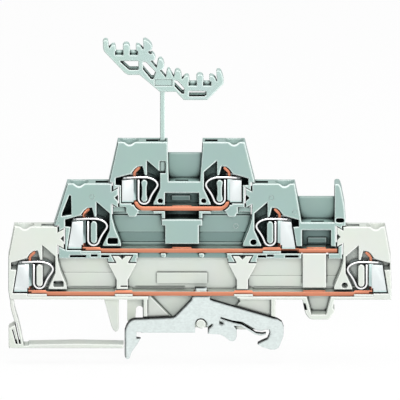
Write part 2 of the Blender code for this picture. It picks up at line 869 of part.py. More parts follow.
def rounded_slot(centre, half_length, radius):
    """A level slot with round ends."""
    run = half_length - radius
    points = arc((centre[0] + run, centre[1]), radius, -90, 90, 6)
    points += arc((centre[0] - run, centre[1]), radius, 90, 270, 6)
    return points


def stub_outline():
    """The tapered stub under the right jumper bay, from its right root to its left root."""
    return [
        (35.8, LOWER_BOTTOM),
        (35.5, 8.3),
        (35.3, 7.2),
        (35.75, 6.6),
        (35.7, 5.7),
        (35.1, 5.2),
        (34.6, 4.3),
        (34.1, 3.9),
        (29.7, 3.9),
        (29.0, 4.2),
        (28.0, 5.5),
        (27.6, 6.9),
        (27.1, LOWER_BOTTOM),
    ]


def build_lower_housing(parent):
    """Lowest level: end towers, tray, fishtail posts, tab, webs behind the foot and the release strip."""
    left, right = LOWER_LEFT, LOWER_RIGHT
    beam_top = LOWER_BAR_TOP - BAR_DEPTH
    left_foot = [
        left.at(-left.foot_out + 0.4, LOWER_BOTTOM - left.z),
        left.at(-left.foot_out, 0.0),
        left.at(-left.foot_out, 9.2),
    ]
    right_foot = [
        right.at(-right.foot_out + 0.1, 9.4),
        right.at(-right.foot_out - 0.2, 0.0),
        right.at(-right.foot_out - 0.2, LOWER_BOTTOM - right.z),
    ]
    left_front = [
        *left_foot,
        *tower_with_support(left),
        (-14.4, beam_top),
        (-14.4, LOWER_BOTTOM),
    ]
    right_front = [
        *reversed(tower_with_support(right)),
        *right_foot,
        *stub_outline(),
        (10.3, LOWER_BOTTOM),
        (9.4, beam_top),
    ]
    stub_hollow = [(28.3, 10.3), (29.6, 5.35), (33.5, 5.35), (34.8, 10.3)]
    holes = [
        cell_hollow(left),
        cell_hollow(right),
        mandrel(left, 0.0),
        mandrel(right, 0.0),
        support_hole(left, False),
        support_hole(right, True),
        stub_hollow,
    ]
    fronts = [left_front, right_front, *holes]
    housing = slab("lower_housing", fronts, FRONT, FLOOR + 0.2, RIM)
    back_top = MIDDLE_BOTTOM - GAP
    tab_right = LOWER_TAB_LEFT + LOWER_TAB_WIDTH
    tab_top = MIDDLE_BAR_TOP - BAR_DEPTH
    panel_left, panel_right = -20.1, 19.9
    panel_low = 0.5
    back_outline = [
        *left_foot,
        left.at(-left.top_out, TOWER_RISE - BACK_DROP),
        (left.across(FISH_BASE), left.top - BACK_DROP),
        *fish_tongue(left),
        (left.across(FISH_BASE), back_top),
        (LOWER_TAB_LEFT, back_top),
        (LOWER_TAB_LEFT, tab_top),
        (tab_right, tab_top),
        (tab_right, back_top),
        (right.across(FISH_BASE), back_top),
        *reversed(fish_tongue(right)),
        (right.across(FISH_BASE), right.top - BACK_DROP),
        right.at(-right.top_out, TOWER_RISE - BACK_DROP),
        *right_foot,
        *stub_outline(),
        (panel_right, LOWER_BOTTOM),
        (panel_right, panel_low),
        (panel_left + 1.0, panel_low),
        (panel_left, panel_low + 2.0),
        (panel_left, LOWER_BOTTOM),
    ]
    opening = [(-17.9, 3.0), (-15.9, 3.0), (-15.95, 6.1), (-16.6, 6.6), (-17.2, 6.5), (-17.7, 5.9)]
    join(housing, slab("lower_back", [back_outline, opening], FLOOR, BACK))
    webs = [
        [
            (-15.8, beam_top),
            (-14.4, beam_top),
            (-9.1, 4.7),
            (-5.5, panel_low),
            (-15.8, panel_low),
        ],
        [
            (8.9, beam_top),
            (10.4, 8.4),
            (9.0, 6.6),
            (6.5, panel_low),
            (panel_right, panel_low),
            (panel_right, beam_top),
        ],
    ]
    join(housing, slab("webs", webs, WEB_FRONT, FLOOR + 0.5))
    seats = [
        [(panel_right - 1.3, 5.0), (panel_right, 4.6), (panel_right, beam_top), (panel_right - 1.3, beam_top)],
        [(-15.8, 4.75), (-14.7, 4.8), (-14.7, beam_top), (-15.8, beam_top)],
    ]
    join(housing, slab("web_posts", seats, FRONT, FLOOR + 0.5, RIM))
    join(housing, slab("foot_pin", [circle((PIN_X, PIN_Z), PIN_RADIUS, 24)], FOOT_FRONT, FLOOR + 0.5))
    fin = [
        (-26.6, LOWER_BOTTOM + 0.3),
        (-24.4, 1.2),
        (-23.9, 0.2),
        (-23.3, -0.3),
        (-22.8, -0.2),
        (-22.35, 0.5),
        (-22.35, LOWER_BOTTOM + 0.3),
    ]
    join(housing, slab("fin", [fin], 0.0, BACK, RIM))
    half = LOWER_TAB_WIDTH
    tab = rectangle(LOWER_TAB_LEFT, LOWER_BAR_TOP + 0.9, LOWER_TAB_LEFT + half, tab_top)
    join(housing, slab("lower_tab", [tab], FRONT, FLOOR + 0.5, RIM))
    posts, tongues = [], []
    for centre in (LEFT_POST, RIGHT_POST):
        shoulder = MIDDLE_BOTTOM - PRONG_DROP - GAP
        posts.append(
            [
                (centre - POST_HALF, beam_top - 0.5),
                (centre + POST_HALF, beam_top - 0.5),
                (centre + POST_HALF, 15.1),
                (centre + POST_SHOULDER, shoulder - 0.3),
                (centre + POST_SHOULDER, shoulder),
                (centre - POST_SHOULDER, shoulder),
                (centre - POST_SHOULDER, shoulder - 0.3),
                (centre - POST_HALF, 15.1),
            ]
        )
        low = MIDDLE_BOTTOM - PRONG_DROP
        tip = low + FISH_REACH
        tongues.append(
            [
                (centre - POST_NECK_HALF, shoulder - 0.5),
                (centre + POST_NECK_HALF, shoulder - 0.5),
                (centre + POST_NECK_HALF, low),
                (centre + POST_TIP_HALF, tip),
                (centre + FISH_RELIEF, tip),
                (centre, tip - FISH_RELIEF),
                (centre - FISH_RELIEF, tip),
                (centre - POST_TIP_HALF, tip),
                (centre - POST_NECK_HALF, low),
            ]
        )
    join(housing, slab("fishtail_posts", posts, FRONT, FLOOR + 0.5, RIM))
    join(housing, slab("fishtail_tongues", tongues, FRONT, FLOOR - GAP, RIM))
    plate = rectangle(MIDDLE_LINE - 6.8, 13.0, MIDDLE_LINE + 6.9, 16.1)
    join(housing, slab("centre_plate", [plate], FLOOR - 0.5, BACK - 0.3))
    mark = rectangle(LEFT_POST - 0.4, 13.1, LEFT_POST + 1.4, 13.45)
    cut(housing, slab("post_mark", [mark], FRONT - 1.0, FRONT + 0.6))
    release_strip(housing)
    cut(
        housing,
        bar_channel(
            "lower_bar_channel",
            left.across(-BAR_END),
            right.across(-BAR_END),
            LOWER_BAR_TOP,
        ),
    )
    for clamp in (left, right):
        cut_tower(housing, clamp)
    return add_part(housing, "pale_housing", parent)


def release_strip(housing):
    """Thin flexing leg at the left with its comb shaped knee and the flat strip towards the foot."""
    knee_x = -48.7
    path = smooth(
        [(-51.35, LOWER_BOTTOM + 0.6), (-50.9, 6.5), (-49.9, 3.0), (-49.1, -0.5), (knee_x, -3.6)], 4
    )
    path.append((knee_x, -3.9))
    join(housing, slab("leg", [ribbon(path, LEG_THICKNESS)], STRIP_FRONT, STRIP_BACK))
    knee = [
        (-52.1, 0.8),
        (-51.9, 1.3),
        (-50.4, 2.2),
        (-49.6, 1.2),
        (-48.1, -3.0),
        (-47.9, STRIP_TOP - STRIP_THICKNESS),
        (-51.9, STRIP_TOP - STRIP_THICKNESS),
        (-52.1, STRIP_TOP - 0.6),
    ]
    join(housing, slab("knee", [knee], STRIP_FRONT, STRIP_BACK, RIM))
    slots = [
        [(-51.2, 0.9), (-50.7, 0.9), (-49.65, -3.1), (-50.15, -3.1)],
        [(-50.5, 3.0), (-50.0, 3.0), (-48.75, -3.1), (-49.25, -3.1)],
    ]
    cut(housing, slab("knee_slots", slots, STRIP_FRONT - 1.0, STRIP_BACK + 1.0))
    end = HOOK_LEFT - GAP
    lever = [
        (knee_x, STRIP_TOP - STRIP_THICKNESS),
        (end, STRIP_TOP - STRIP_THICKNESS),
        (end, STRIP_TOP),
        (end - 12.5, STRIP_TOP + 0.25),
        (-46.5, STRIP_TOP),
        (-46.9, STRIP_TOP - 0.35),
        (knee_x, STRIP_TOP - 0.35),
    ]
    join(housing, slab("lever", [lever], STRIP_FRONT, STRIP_BACK, RIM))


# Bars


def tip_outline():
    """Bent end of a bar's tongue over the spring's top leg, in the clamp's frame."""
    over = SPRING_TOP
    return [
        (-TONGUE_NEAR - TONGUE_THICKNESS, over - 1.0),
        (-TONGUE_NEAR, over - 1.0),
        (-TONGUE_NEAR, over + 0.95),
        (0.35, over + 1.95),
        (0.55, over + 2.4),
        (0.15, over + 2.78),
        (-0.45, over + 2.45),
        (-1.1, over + 1.75),
        (-TONGUE_NEAR - TONGUE_THICKNESS, over + 0.9),
    ]


def tongue_outline(bend_low):
    """Upright tongue behind the conductor pocket, in the clamp's frame."""
    near, far = -TONGUE_NEAR, -TONGUE_NEAR - TONGUE_THICKNESS
    return [(far, bend_low), (near, bend_low), (near, SPRING_TOP), (far, SPRING_TOP)]


def add_tongue(bar, clamp, bend_low):
    tag = "_" + clamp.name
    tongue_back = TONGUE_FRONT + TONGUE_WIDTH
    join(bar, slab("tongue" + tag, [clamp.loop(tongue_outline(bend_low))], TONGUE_FRONT, tongue_back))
    join(bar, slab("tip" + tag, [clamp.loop(tip_outline())], TONGUE_FRONT, tongue_back, 0.1))


CURL_CENTRE = (1.25, CURL_RADIUS - UPPER_BAR_DROP - BAR_THICKNESS)


def curl_outline():
    """Side view of the bar's end on the upper level, where it turns up in a tight bend."""
    outer_arc = arc(CURL_CENTRE, CURL_RADIUS, 190, 270, 7)
    inner_arc = arc(CURL_CENTRE, CURL_RADIUS - BAR_THICKNESS, 270, 200, 6)
    low = -UPPER_BAR_DROP - BAR_THICKNESS
    run = [(3.5, low), (3.5, -UPPER_BAR_DROP)]
    return [(-1.05, 1.1), *outer_arc, *run, *inner_arc, (-0.45, 1.1)]


def build_upper_bar(parent):
    left, right = UPPER_LEFT, UPPER_RIGHT
    top = UPPER_BAR_TOP - UPPER_BAR_DROP
    run = rectangle(left.across(3.0), top - BAR_THICKNESS, right.across(3.0), top)
    bar = slab("upper_bus_bar", [run], BAR_FRONT, BAR_BACK)
    for clamp in (left, right):
        curl = clamp.loop(curl_outline())
        join(bar, slab("curl_" + clamp.name, [curl], BAR_FRONT, BAR_BACK))
        add_tongue(bar, clamp, 0.6)
    patch = rectangle(MIDDLE_LINE - 2.6, top - 0.3, MIDDLE_LINE + 2.6, top + 0.15)
    join(bar, slab("upper_patch", [patch], BAR_FRONT + 0.4, BAR_BACK - 0.4))
    return add_part(bar, "copper", parent)


def upper_bar_channel():
    """The slot that the upper bar lies in, with clearance all round."""
    end = [(-BAR_END - 0.4, 0.95), (-BAR_END - 0.4, GAP), *arc(CURL_CENTRE, CURL_RADIUS + GAP, 200, 270, 6)]
    channel = [
        *UPPER_LEFT.loop(end),
        *UPPER_RIGHT.loop(end[::-1]),
        UPPER_RIGHT.at(3.9, GAP + 0.05),
        UPPER_LEFT.at(3.9, GAP + 0.05),
    ]
    return slab("upper_bar_channel", [channel], FRONT - 1.0, BAR_BACK + GAP)


def stepped_bar(name, left_end, right_end, bar_top, raised):
    """A flat bar that lies one step higher over each stretch in raised."""

    def drop(x):
        return 0.0 if any(start < x < end for start, end in raised) else BAR_STEP

    course = [(left_end, drop(left_end))]
    for start, end in raised:
        for x, fall in ((start, BAR_STEP), (start + 0.3, 0.0), (end - 0.3, 0.0), (end, BAR_STEP)):
            if left_end < x < right_end:
                course.append((x, fall))
    course.append((right_end, drop(right_end)))
    upper_edge = [(x, bar_top - fall) for x, fall in course]
    lower_edge = [(x, bar_top - fall - BAR_THICKNESS) for x, fall in reversed(course)]
    return slab(name, [upper_edge + lower_edge], BAR_FRONT, BAR_BACK)


def build_middle_bar(parent):
    left, right = MIDDLE_LEFT, MIDDLE_RIGHT
    left_end = left.across(-BAR_END)
    right_end = SIDE_BAY_LEFT + SIDE_BAY_WIDTH + 1.8
    raised = [(left_end - 1.0, left.across(3.5)), (right.across(3.5), right.across(-BAR_END))]
    bar = stepped_bar("middle_bus_bar", left_end, right_end, MIDDLE_BAR_TOP, raised)
    for clamp in (left, right):
        add_tongue(bar, clamp, -0.6)
    top = MIDDLE_BAR_TOP - BAR_STEP
    for name, centre in (
        ("middle_patch", MIDDLE_LINE),
        ("side_patch", SIDE_BAY_LEFT + SIDE_BAY_WIDTH / 2),
    ):
        patch = rectangle(centre - 2.6, top - 0.3, centre + 2.6, top + 0.3)
        join(bar, slab(name, [patch], BAR_FRONT + 0.4, BAR_BACK - 0.4))
    notch = sorted((right.across(-BAR_END), right.across(-POCKET_OUTER - 1.9)))
    cut(
        bar,
        box(
            "pocket_notch",
            (notch[0], BAR_FRONT - 1.0, MIDDLE_BAR_TOP - 3.0),
            (notch[1], POCKET_FRONT + POCKET_SHEET + GAP, MIDDLE_BAR_TOP + 1.0),
        ),
    )
    return add_part(bar, "copper", parent)


def build_lower_bar(parent):
    left, right = LOWER_LEFT, LOWER_RIGHT
    left_end = left.across(-BAR_END)
    right_end = right.across(-BAR_END)
    raised = [
        (left_end - 1.0, left.across(3.5)),
        (LEFT_POST - 2.0, LEFT_POST + 2.9),
        (RIGHT_POST - 2.3, RIGHT_POST + 2.9),
        (right.across(3.5), right_end + 1.0),
    ]
    bar = stepped_bar("lower_bus_bar", left_end, right_end, LOWER_BAR_TOP, raised)
    for clamp in (left, right):
        add_tongue(bar, clamp, -0.6)
    top = LOWER_BAR_TOP - BAR_STEP
    patch_x = LOWER_TAB_LEFT + LOWER_TAB_WIDTH / 2
    patch = rectangle(patch_x - 3.0, top - 0.3, patch_x + 3.0, top + 0.3)
    join(bar, slab("lower_patch", [patch], BAR_FRONT + 0.4, BAR_BACK - 0.4))
    slot = box(
        "foot_slot",
        (FOOT_TONGUE[0] - GAP, FOOT_TONGUE_FRONT - GAP, top - 2.0),
        (FOOT_TONGUE[1] + GAP, FOOT_TONGUE_BACK + GAP, top + 1.0),
    )
    cut(bar, slot)
    return add_part(bar, "copper", parent)


# Springs and pockets


def spring_path():
    """Middle line of the spring strip: leg, turn at the bar, bulge, top leg."""
    radius = LOOP_WIDTH / 2
    low = GAP + SPRING_THICKNESS / 2
    leg_top = SPRING_TOP - SPRING_THICKNESS - GAP
    turn = arc((radius, low + radius), radius, 180, 350, 10)
    over = LOOP_BULGE - LOOP_WIDTH
    rise = SPRING_TOP - low - radius
    shape = (
        (0.24, 0.16),
        (0.54, 0.34),
        (0.85, 0.5),
        (1.0, 0.63),
        (0.92, 0.75),
        (0.64, 0.86),
        (0.19, 0.945),
        (-0.35, 0.995),
    )
    bulge = [(LOOP_WIDTH + out * over, low + radius + up * rise) for out, up in shape]
    bulge = smooth([turn[-1], *bulge], LOOP_STEPS)
    ends = [(LOOP_WIDTH - 0.35 * over, SPRING_TOP - 0.03), (0.0, SPRING_TOP), (-SPRING_REACH, SPRING_TOP - 0.1)]
    return [(0.0, leg_top), (0.0, (leg_top + low) / 2), *turn[:-1], *bulge, *ends]


def build_spring(clamp, parent):
    outline = ribbon(spring_path(), SPRING_THICKNESS)
    origin = (clamp.x, clamp.z)
    back = SPRING_FRONT + SPRING_WIDTH
    spring = slab(
        "spring_" + clamp.name, [clamp.loop(outline)], SPRING_FRONT, back, origin=origin
    )
    near = clamp.across(-0.25)
    far = clamp.across(-0.25 - WINDOW_LENGTH)
    window = box(
        "spring_window_" + clamp.name,
        (min(near, far), TONGUE_FRONT - GAP, clamp.z + SPRING_TOP - 1.0),
        (max(near, far), TONGUE_FRONT + TONGUE_WIDTH + GAP, clamp.z + SPRING_TOP + 1.0),
    )
    cut(spring, window)
    return add_part(spring, "spring_steel", parent)


def pocket_low(clamp):
    return clamp.floor + GAP if clamp.floor > 0 else 0.65


def pocket_outline(clamp, inner, inset):
    """Front view of a pocket, narrower at its top where the tower's wall slopes."""
    low = pocket_low(clamp)
    spread = clamp.flare * (1 - (low - clamp.floor) / (5.75 - clamp.floor))
    return clamp.loop(
        [
            (-inner, low),
            (-inner, POCKET_TOP),
            (-POCKET_OUTER + 0.2 * clamp.flare + inset, POCKET_TOP - 0.2),
            (-POCKET_OUTER + inset, 5.6),
            (-POCKET_OUTER - spread + inset, low),
        ]
    )


def build_pocket(clamp, parent):
    """Sheet pocket: front, outer side and back wall, open at the top and towards the spring."""
    origin = (clamp.x, clamp.z)
    pocket = slab(
        "pocket_" + clamp.name,
        [pocket_outline(clamp, POCKET_INNER, 0.0)],
        POCKET_FRONT,
        POCKET_BACK,
        origin=origin,
    )
    low = pocket_low(clamp)
    strip = clamp.loop(
        [
            (-POCKET_INNER - 0.5, low + 0.1),
            (-STRIP_EDGE, low + 0.6),
            (-STRIP_EDGE, POCKET_TOP + 0.07),
            (-POCKET_INNER - 0.5, POCKET_TOP + 0.07),
        ]
    )
    join(
        pocket,
        slab(
            "strip_" + clamp.name,
            [strip],
            POCKET_FRONT + POCKET_JOGGLE,
            POCKET_FRONT + POCKET_JOGGLE + POCKET_SHEET,
        ),
    )
    hollow = [
        (x, z)
        for x, z in pocket_outline(clamp, POCKET_INNER, POCKET_SHEET)
    ]
    grown = []
    for x, z in hollow:
        local_x = (x - clamp.x) * clamp.inward
        local_z = z - clamp.z
        if local_x > -POCKET_INNER - 0.01:
            local_x = 0.5
        if local_z > POCKET_TOP - 0.5:
            local_z = POCKET_TOP + 1.0
        if local_z < low + 0.01:
            local_z = low - 0.05
        grown.append(clamp.at(local_x, local_z))
    cut(
        pocket,
        slab(
            "pocket_hollow_" + clamp.name,
            [grown],
            POCKET_FRONT + POCKET_JOGGLE + POCKET_SHEET,
            POCKET_BACK - POCKET_SHEET,
        ),
    )
    if clamp.floor < 0:
        spread = clamp.flare * (1 - (low - clamp.floor) / (5.75 - clamp.floor))
        bottom = clamp.floor + GAP + 0.1
        apron = clamp.loop(
            [
                (-POCKET_INNER - 0.45, bottom),
                (-POCKET_INNER - 0.45, low + 0.3),
                (-POCKET_OUTER - spread + 0.02, low + 0.3),
                (-POCKET_OUTER - clamp.flare + 0.1, bottom),
            ]
        )
        join(
            pocket,
            slab("apron_" + clamp.name, [apron], POCKET_FRONT, POCKET_FRONT + POCKET_SHEET),
        )
    return add_part(pocket, "tinned_sheet", parent)


# Foot


def build_foot(parent):
    """Stamped foot: hook at the left, apex under the lower bar, leaf and jaw at the right."""
    apex_top = LOWER_BAR_TOP - BAR_DEPTH
    key = arc((PIN_X, PIN_Z), PIN_RADIUS + GAP, 180, 0, 10)
    outline = [
        (HOOK_LEFT, -6.3),
        (HOOK_LEFT + 0.15, -7.0),
        (-20.2, -7.5),
        (-19.7, -7.4),
        (-19.35, -6.9),
        (-19.0, -5.7),
        (-18.4, -4.7),
        (-17.4, -3.3),
        (-16.5, -1.6),
        (-17.6, -1.45),
        (-17.6, 0.15),
        (-16.3, 0.15),
        (-16.3, 0.0),
        (key[0][0], 0.0),
        *key,
        (key[-1][0], 1.5),
        (2.75, 2.5),
        (2.9, 2.25),
        (1.6, 1.2),
        (1.6, -0.25),
        (4.9, -0.5),
        (6.2, -1.15),
        (7.0, -1.85),
        (7.7, -2.3),
        (8.4, -2.4),
        (9.0, -2.05),
        (9.35, -1.3),
        (9.45, -0.3),
        (9.35, 0.75),
        (9.0, 1.5),
        (8.75, 1.9),
        (10.4, 1.9),
        (13.0, 0.35),
        (14.3, -0.5),
        (15.9, -0.8),
        (17.2, -0.5),
        (17.3, 0.0),
        (16.2, -0.15),
        (14.6, 0.05),
        (13.1, 1.0),
        (10.7, 2.5),
        (8.0, 3.15),
        (5.1, 4.1),
        (5.1, 4.4),
        (8.2, 3.45),
        (10.9, 3.05),
        (13.8, 1.35),
        (15.0, 0.7),
        (16.3, 0.6),
        (17.2, 0.9),
        (18.1, 0.9),
        (18.2, -0.2),
        (17.6, -1.6),
        (16.2, -2.2),
        (15.1, -2.8),
        (15.0, -3.2),
        (16.2, -4.0),
        (18.4, -4.7),
        (19.7, -4.75),
        (20.7, -4.2),
        (21.2, -3.1),
        (22.0, -0.9),
        (22.1, 1.65),
        (21.5, 3.2),
        (20.3, 4.0),
        (18.65, 4.4),
        (APEX_RIGHT, 9.4),
        (APEX_RIGHT, apex_top),
        (APEX_LEFT, apex_top),
        (APEX_LEFT, 9.5),
        (-7.3, 4.65),
        (-7.9, 4.4),
        (-18.4, 3.9),
        (-19.5, 3.4),
        (-20.3, 2.2),
        (HOOK_LEFT, 0.8),
    ]
    hole = [(4.6, 2.5), (5.9, 2.5), (5.5, 3.3), (5.0, 3.4), (4.6, 3.9)]
    foot = slab("mounting_foot", [outline, hole], FOOT_FRONT, FOOT_BACK, 0.1)
    tongue = rectangle(FOOT_TONGUE[0], apex_top - 0.5, FOOT_TONGUE[1], LOWER_BAR_TOP + 0.65)
    join(foot, slab("foot_tongue", [tongue], FOOT_TONGUE_FRONT, FOOT_TONGUE_BACK))
    return add_part(foot, "nickel_plated", parent)


# Marker carrier


def seat_prongs(x, z):
    """Two short prongs and a tall one with level seats between them, from left to right."""
    short = [(0.1, 1.05), (0.55, 1.6), (1.0, 1.98), (1.6, 2.0), (1.85, 1.5), (2.05, 0.0)]
    tall = [(3.85, 0.0), (3.8, 1.65), (4.15, 2.2), (4.8, 2.35), (5.4, 2.15), (5.7, 1.6), (5.8, 0.0)]
    far = [(7.35, 0.0), (7.3, 1.65), (7.55, 2.0), (8.2, 1.9), (8.95, 1.2)]
    return [(x + right, z + up) for right, up in short + tall + far]


def carrier_outline():
    """The whole carrier but its post: left seat, slanted link with its prongs, right seat."""
    left_end = [(-26.4, 79.2), (-26.65, 80.2), (-26.7, 81.7), (-26.4, 82.25), (-25.8, 82.4), (-25.3, 82.1)]
    left_corner = [
        (-15.95, 79.85), (-15.7, 79.85), (-15.85, 82.15), (-15.6, 82.4), (-15.1, 82.45), (-14.3, 81.9),
        (-13.55, 81.05), (-13.3, 80.3), (-13.5, 79.7), (-14.05, 79.3), (-14.45, 79.1),
    ]
    link_prongs = [
        (-13.9, 78.5), (-13.35, 78.75), (-12.8, 78.2), (-12.5, 77.4), (-12.8, 76.7), (-13.7, 76.5),
        (-12.2, 74.65), (-11.85, 76.5), (-11.5, 77.05), (-10.95, 77.1), (-10.4, 76.5), (-10.1, 75.5),
        (-10.2, 74.6), (-10.7, 74.0), (-11.2, 73.85), (-9.7, 72.0), (-9.4, 73.65), (-9.1, 74.15),
        (-8.7, 74.1), (-8.4, 73.5), (-7.55, 71.9), (-7.25, 73.4), (-6.95, 73.85), (-6.4, 73.9),
        (-5.85, 73.55), (-5.5, 72.7), (-5.4, 71.45),
    ]
    right_end = [
        (3.9, 70.85), (4.05, 70.85), (3.9, 73.4), (4.1, 73.8), (4.6, 73.85), (5.15, 73.55), (5.55, 72.55),
        (5.85, 71.3), (5.9, 70.1),
    ]
    lower_side = [
        (1.5, 65.5), (-4.9, 65.5), (-6.95, MARKER_BOTTOM), (-11.35, MARKER_BOTTOM), (-16.75, 72.55),
        (-19.85, 72.55), (-20.8, 73.1),
    ]
    first = seat_prongs(-25.1, 79.0)
    second = seat_prongs(-5.3, 70.4)
    return left_end + first + left_corner + link_prongs + second + right_end + lower_side


def build_marker_carrier(parent):
    """Two marker seats on a slanted link, on the post that slides in the upper housing's channel."""
    origin = (MARKER_POST_X, UPPER_LEFT.top)
    front, back = CARRIER_FRONT, CARRIER_FRONT + CARRIER_THICKNESS
    carrier = slab("marker_carrier", [carrier_outline()], front, back, 0.1, origin)
    post_bottom = UPPER_LEFT.top - MARKER_INSERTION
    half = MARKER_POST_WIDTH / 2
    join(
        carrier,
        box(
            "carrier_post",
            (MARKER_POST_X - half, MARKER_POST_FRONT, post_bottom),
            (MARKER_POST_X + half, MARKER_POST_FRONT + MARKER_POST_THICKNESS, MARKER_BOTTOM + 1.0),
        ),
    )
    windows = [
        [(-22.0, 76.5), (-17.1, 76.5), (-17.1, 74.0), (-19.6, 74.0), (-22.0, 76.2)],
        [(-15.9, 76.2), (-15.1, 76.2), (-12.4, 73.4), (-13.1, 71.4), (-13.7, 71.4), (-15.9, 74.2)],
        [(-7.35, 71.15), (-6.5, 70.85), (-4.8, 68.9), (-4.8, 67.3), (-5.4, 67.3), (-7.35, 69.4)],
        [(-3.45, 68.0), (1.2, 68.0), (1.2, 67.05), (0.75, 66.55), (-3.45, 66.55)],
    ]
    cut(carrier, slab("carrier_windows", windows, front - 1.0, back + 1.0))
    seats = []
    for x, z in ((-25.1, 79.0), (-5.3, 70.4)):
        seats.append(rectangle(x + 1.7, z - 0.9, x + 3.9, z + 0.3))
        seats.append(rectangle(x + 5.65, z - 0.9, x + 7.8, z + 0.3))
    cut(carrier, slab("seat_recesses", seats, front - 1.0, front + 1.2))
    label = rectangle(-12.7, 69.5, -8.0, 71.3)
    cut(carrier, slab("bare_label", [label], front - 1.0, front + 0.2))
    return add_part(carrier, "grey_housing", parent)


def main():
    clear_scene()
    make_collections()
    root = bpy.data.objects.new("rail_seat", None)
    bpy.data.collections[PARTS].objects.link(root)
    build_lower_housing(root)
    build_middle_housing(root)
    build_upper_housing(root)
    build_lower_bar(root)
    build_middle_bar(root)
    build_upper_bar(root)
    for clamp in CLAMPS:
        build_spring(clamp, root)
        build_pocket(clamp, root)
    build_foot(root)
    build_marker_carrier(root)


main()
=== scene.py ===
"""Looks of the triple level terminal block: moulded housings, copper, spring strip, plated steel.

X runs along the block, Z is up and the open side faces -Y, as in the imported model. Sizes in the
settings are in metres, and the material functions turn millimetres into texture scales.
"""

import math

import bmesh
import bpy
from bpy.props import FloatProperty, FloatVectorProperty, PointerProperty
from mathutils import Matrix, Vector
from mathutils.bvhtree import BVHTree


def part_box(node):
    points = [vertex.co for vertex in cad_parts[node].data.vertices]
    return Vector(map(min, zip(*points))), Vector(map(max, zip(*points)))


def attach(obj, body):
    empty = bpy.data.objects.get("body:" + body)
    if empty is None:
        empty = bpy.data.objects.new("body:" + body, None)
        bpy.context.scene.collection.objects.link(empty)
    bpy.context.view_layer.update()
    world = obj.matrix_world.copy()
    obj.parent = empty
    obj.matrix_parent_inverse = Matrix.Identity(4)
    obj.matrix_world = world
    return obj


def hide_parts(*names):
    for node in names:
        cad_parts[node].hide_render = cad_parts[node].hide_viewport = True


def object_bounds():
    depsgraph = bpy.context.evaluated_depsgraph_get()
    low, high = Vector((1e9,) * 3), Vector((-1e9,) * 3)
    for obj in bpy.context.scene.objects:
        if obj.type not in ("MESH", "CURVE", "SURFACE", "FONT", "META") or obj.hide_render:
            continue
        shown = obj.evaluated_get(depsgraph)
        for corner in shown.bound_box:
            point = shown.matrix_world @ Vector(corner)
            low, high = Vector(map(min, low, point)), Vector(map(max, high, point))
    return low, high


bl_info = {
    "name": "Terminal Block Looks",
    "version": (1, 0, 0),
    "blender": (4, 5, 0),
    "location": "3D View > Sidebar > Terminal Block",
    "description": "Dresses a triple level terminal block and sets up its studio",
    "category": "Object",
}

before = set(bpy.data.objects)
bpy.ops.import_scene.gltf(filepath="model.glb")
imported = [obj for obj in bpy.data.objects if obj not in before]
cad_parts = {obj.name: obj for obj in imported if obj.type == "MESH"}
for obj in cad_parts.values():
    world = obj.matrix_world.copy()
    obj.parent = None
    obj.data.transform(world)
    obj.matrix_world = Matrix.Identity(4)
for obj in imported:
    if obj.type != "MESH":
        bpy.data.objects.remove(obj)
CAD_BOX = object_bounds()

MM = 0.001
PICTURE_PIXELS = 400
CAMERA_DISTANCE = 1.0
LAMP_SIZE = 0.5
CLAMPS = ("upper_left", "upper_right", "middle_left", "middle_right", "lower_left", "lower_right")
HOUSINGS = {
    "lower_housing": "pale_housing",
    "middle_housing": "grey_housing",
    "upper_housing": "grey_housing",
}
BARS = ("lower_bus_bar", "middle_bus_bar", "upper_bus_bar")
# Outlines in the XZ plane, in millimetres: hollow and slot of the right stub.
STUB_HOLLOW = ((28.2, 10.5), (29.5, 5.35), (33.5, 5.35), (34.8, 10.5))
STUB_SLOT = ((27.3, 8.5), (27.95, 8.5), (28.4, 6.6), (27.75, 6.6))
# Black strips of painted shade along the lower walls of the carrier's windows.
WINDOW_SHADE_STRIPS = (
    ((-22.0, 76.2), (-19.6, 74.0), (-17.1, 74.0), (-17.1, 74.35), (-19.45, 74.35), (-21.8, 76.5)),
    ((-15.9, 74.2), (-13.7, 71.4), (-13.1, 71.4), (-12.95, 71.9), (-13.55, 71.85), (-15.9, 74.75)),
    ((-7.35, 69.4), (-5.4, 67.3), (-4.8, 67.3), (-4.8, 67.8), (-5.2, 67.75), (-7.35, 69.95)),
    ((-3.45, 66.55), (0.75, 66.55), (1.2, 67.05), (1.2, 67.5), (0.7, 67.0), (-3.45, 67.0)),
)
# Chutes under the jumper bays, whose floors take painted shade: left, low, right, high.
CHUTES = ((-9.95, 33.3, -0.85, 39.6), (27.0, 23.2, 34.7, 29.1))
# Where the housings close up under the raised stretches of the bars: left, low, right, high.
BAR_BEDS = {
    "pale": (
        (-47.05, 10.35, -41.8, 11.07),
        (-23.45, 10.35, -18.65, 11.07),
        (8.65, 10.35, 13.75, 11.07),
        (41.0, 10.35, 46.25, 11.07),
    ),
    "grey": ((-32.45, 22.5, -27.2, 23.22), (16.4, 22.5, 21.3, 23.22)),
}
# Thin ledges on the back walls of the lowest trays, in the painted shade of the deep floors: left,
# low, right, high, and how far proud.
TRAY_LEDGES = (
    ("left_tray_ledge", (-37.9, 10.9, -23.2, 16.0), 0.12),
    ("right_tray_ledge", (12.6, 10.9, 27.2, 15.1), 0.12),
    ("far_tray_ledge", (33.4, 10.9, 36.9, 15.1), 0.12),
)
# Dark strip of painted shade where each of these walls meets the shelf under it: left, low, right,
# high.
TRAY_JOINT_SHADES = (
    ("left_tray_joint_shade", (-37.6, 11.93, -23.3, 12.2)),
    ("middle_tray_joint_shade", (-17.9, 11.93, -4.6, 12.2)),
    ("right_tray_joint_shade", (14.0, 11.93, 27.1, 12.2)),
    ("far_tray_joint_shade", (33.5, 11.93, 36.0, 12.2)),
)
# Places along Y: front of the back walls, end of the stub's slot, and where carving starts.
BACK_WALL_FRONT = 1.5
STUB_SLOT_BACK = 0.5
CARVE_FRONT = -3.0
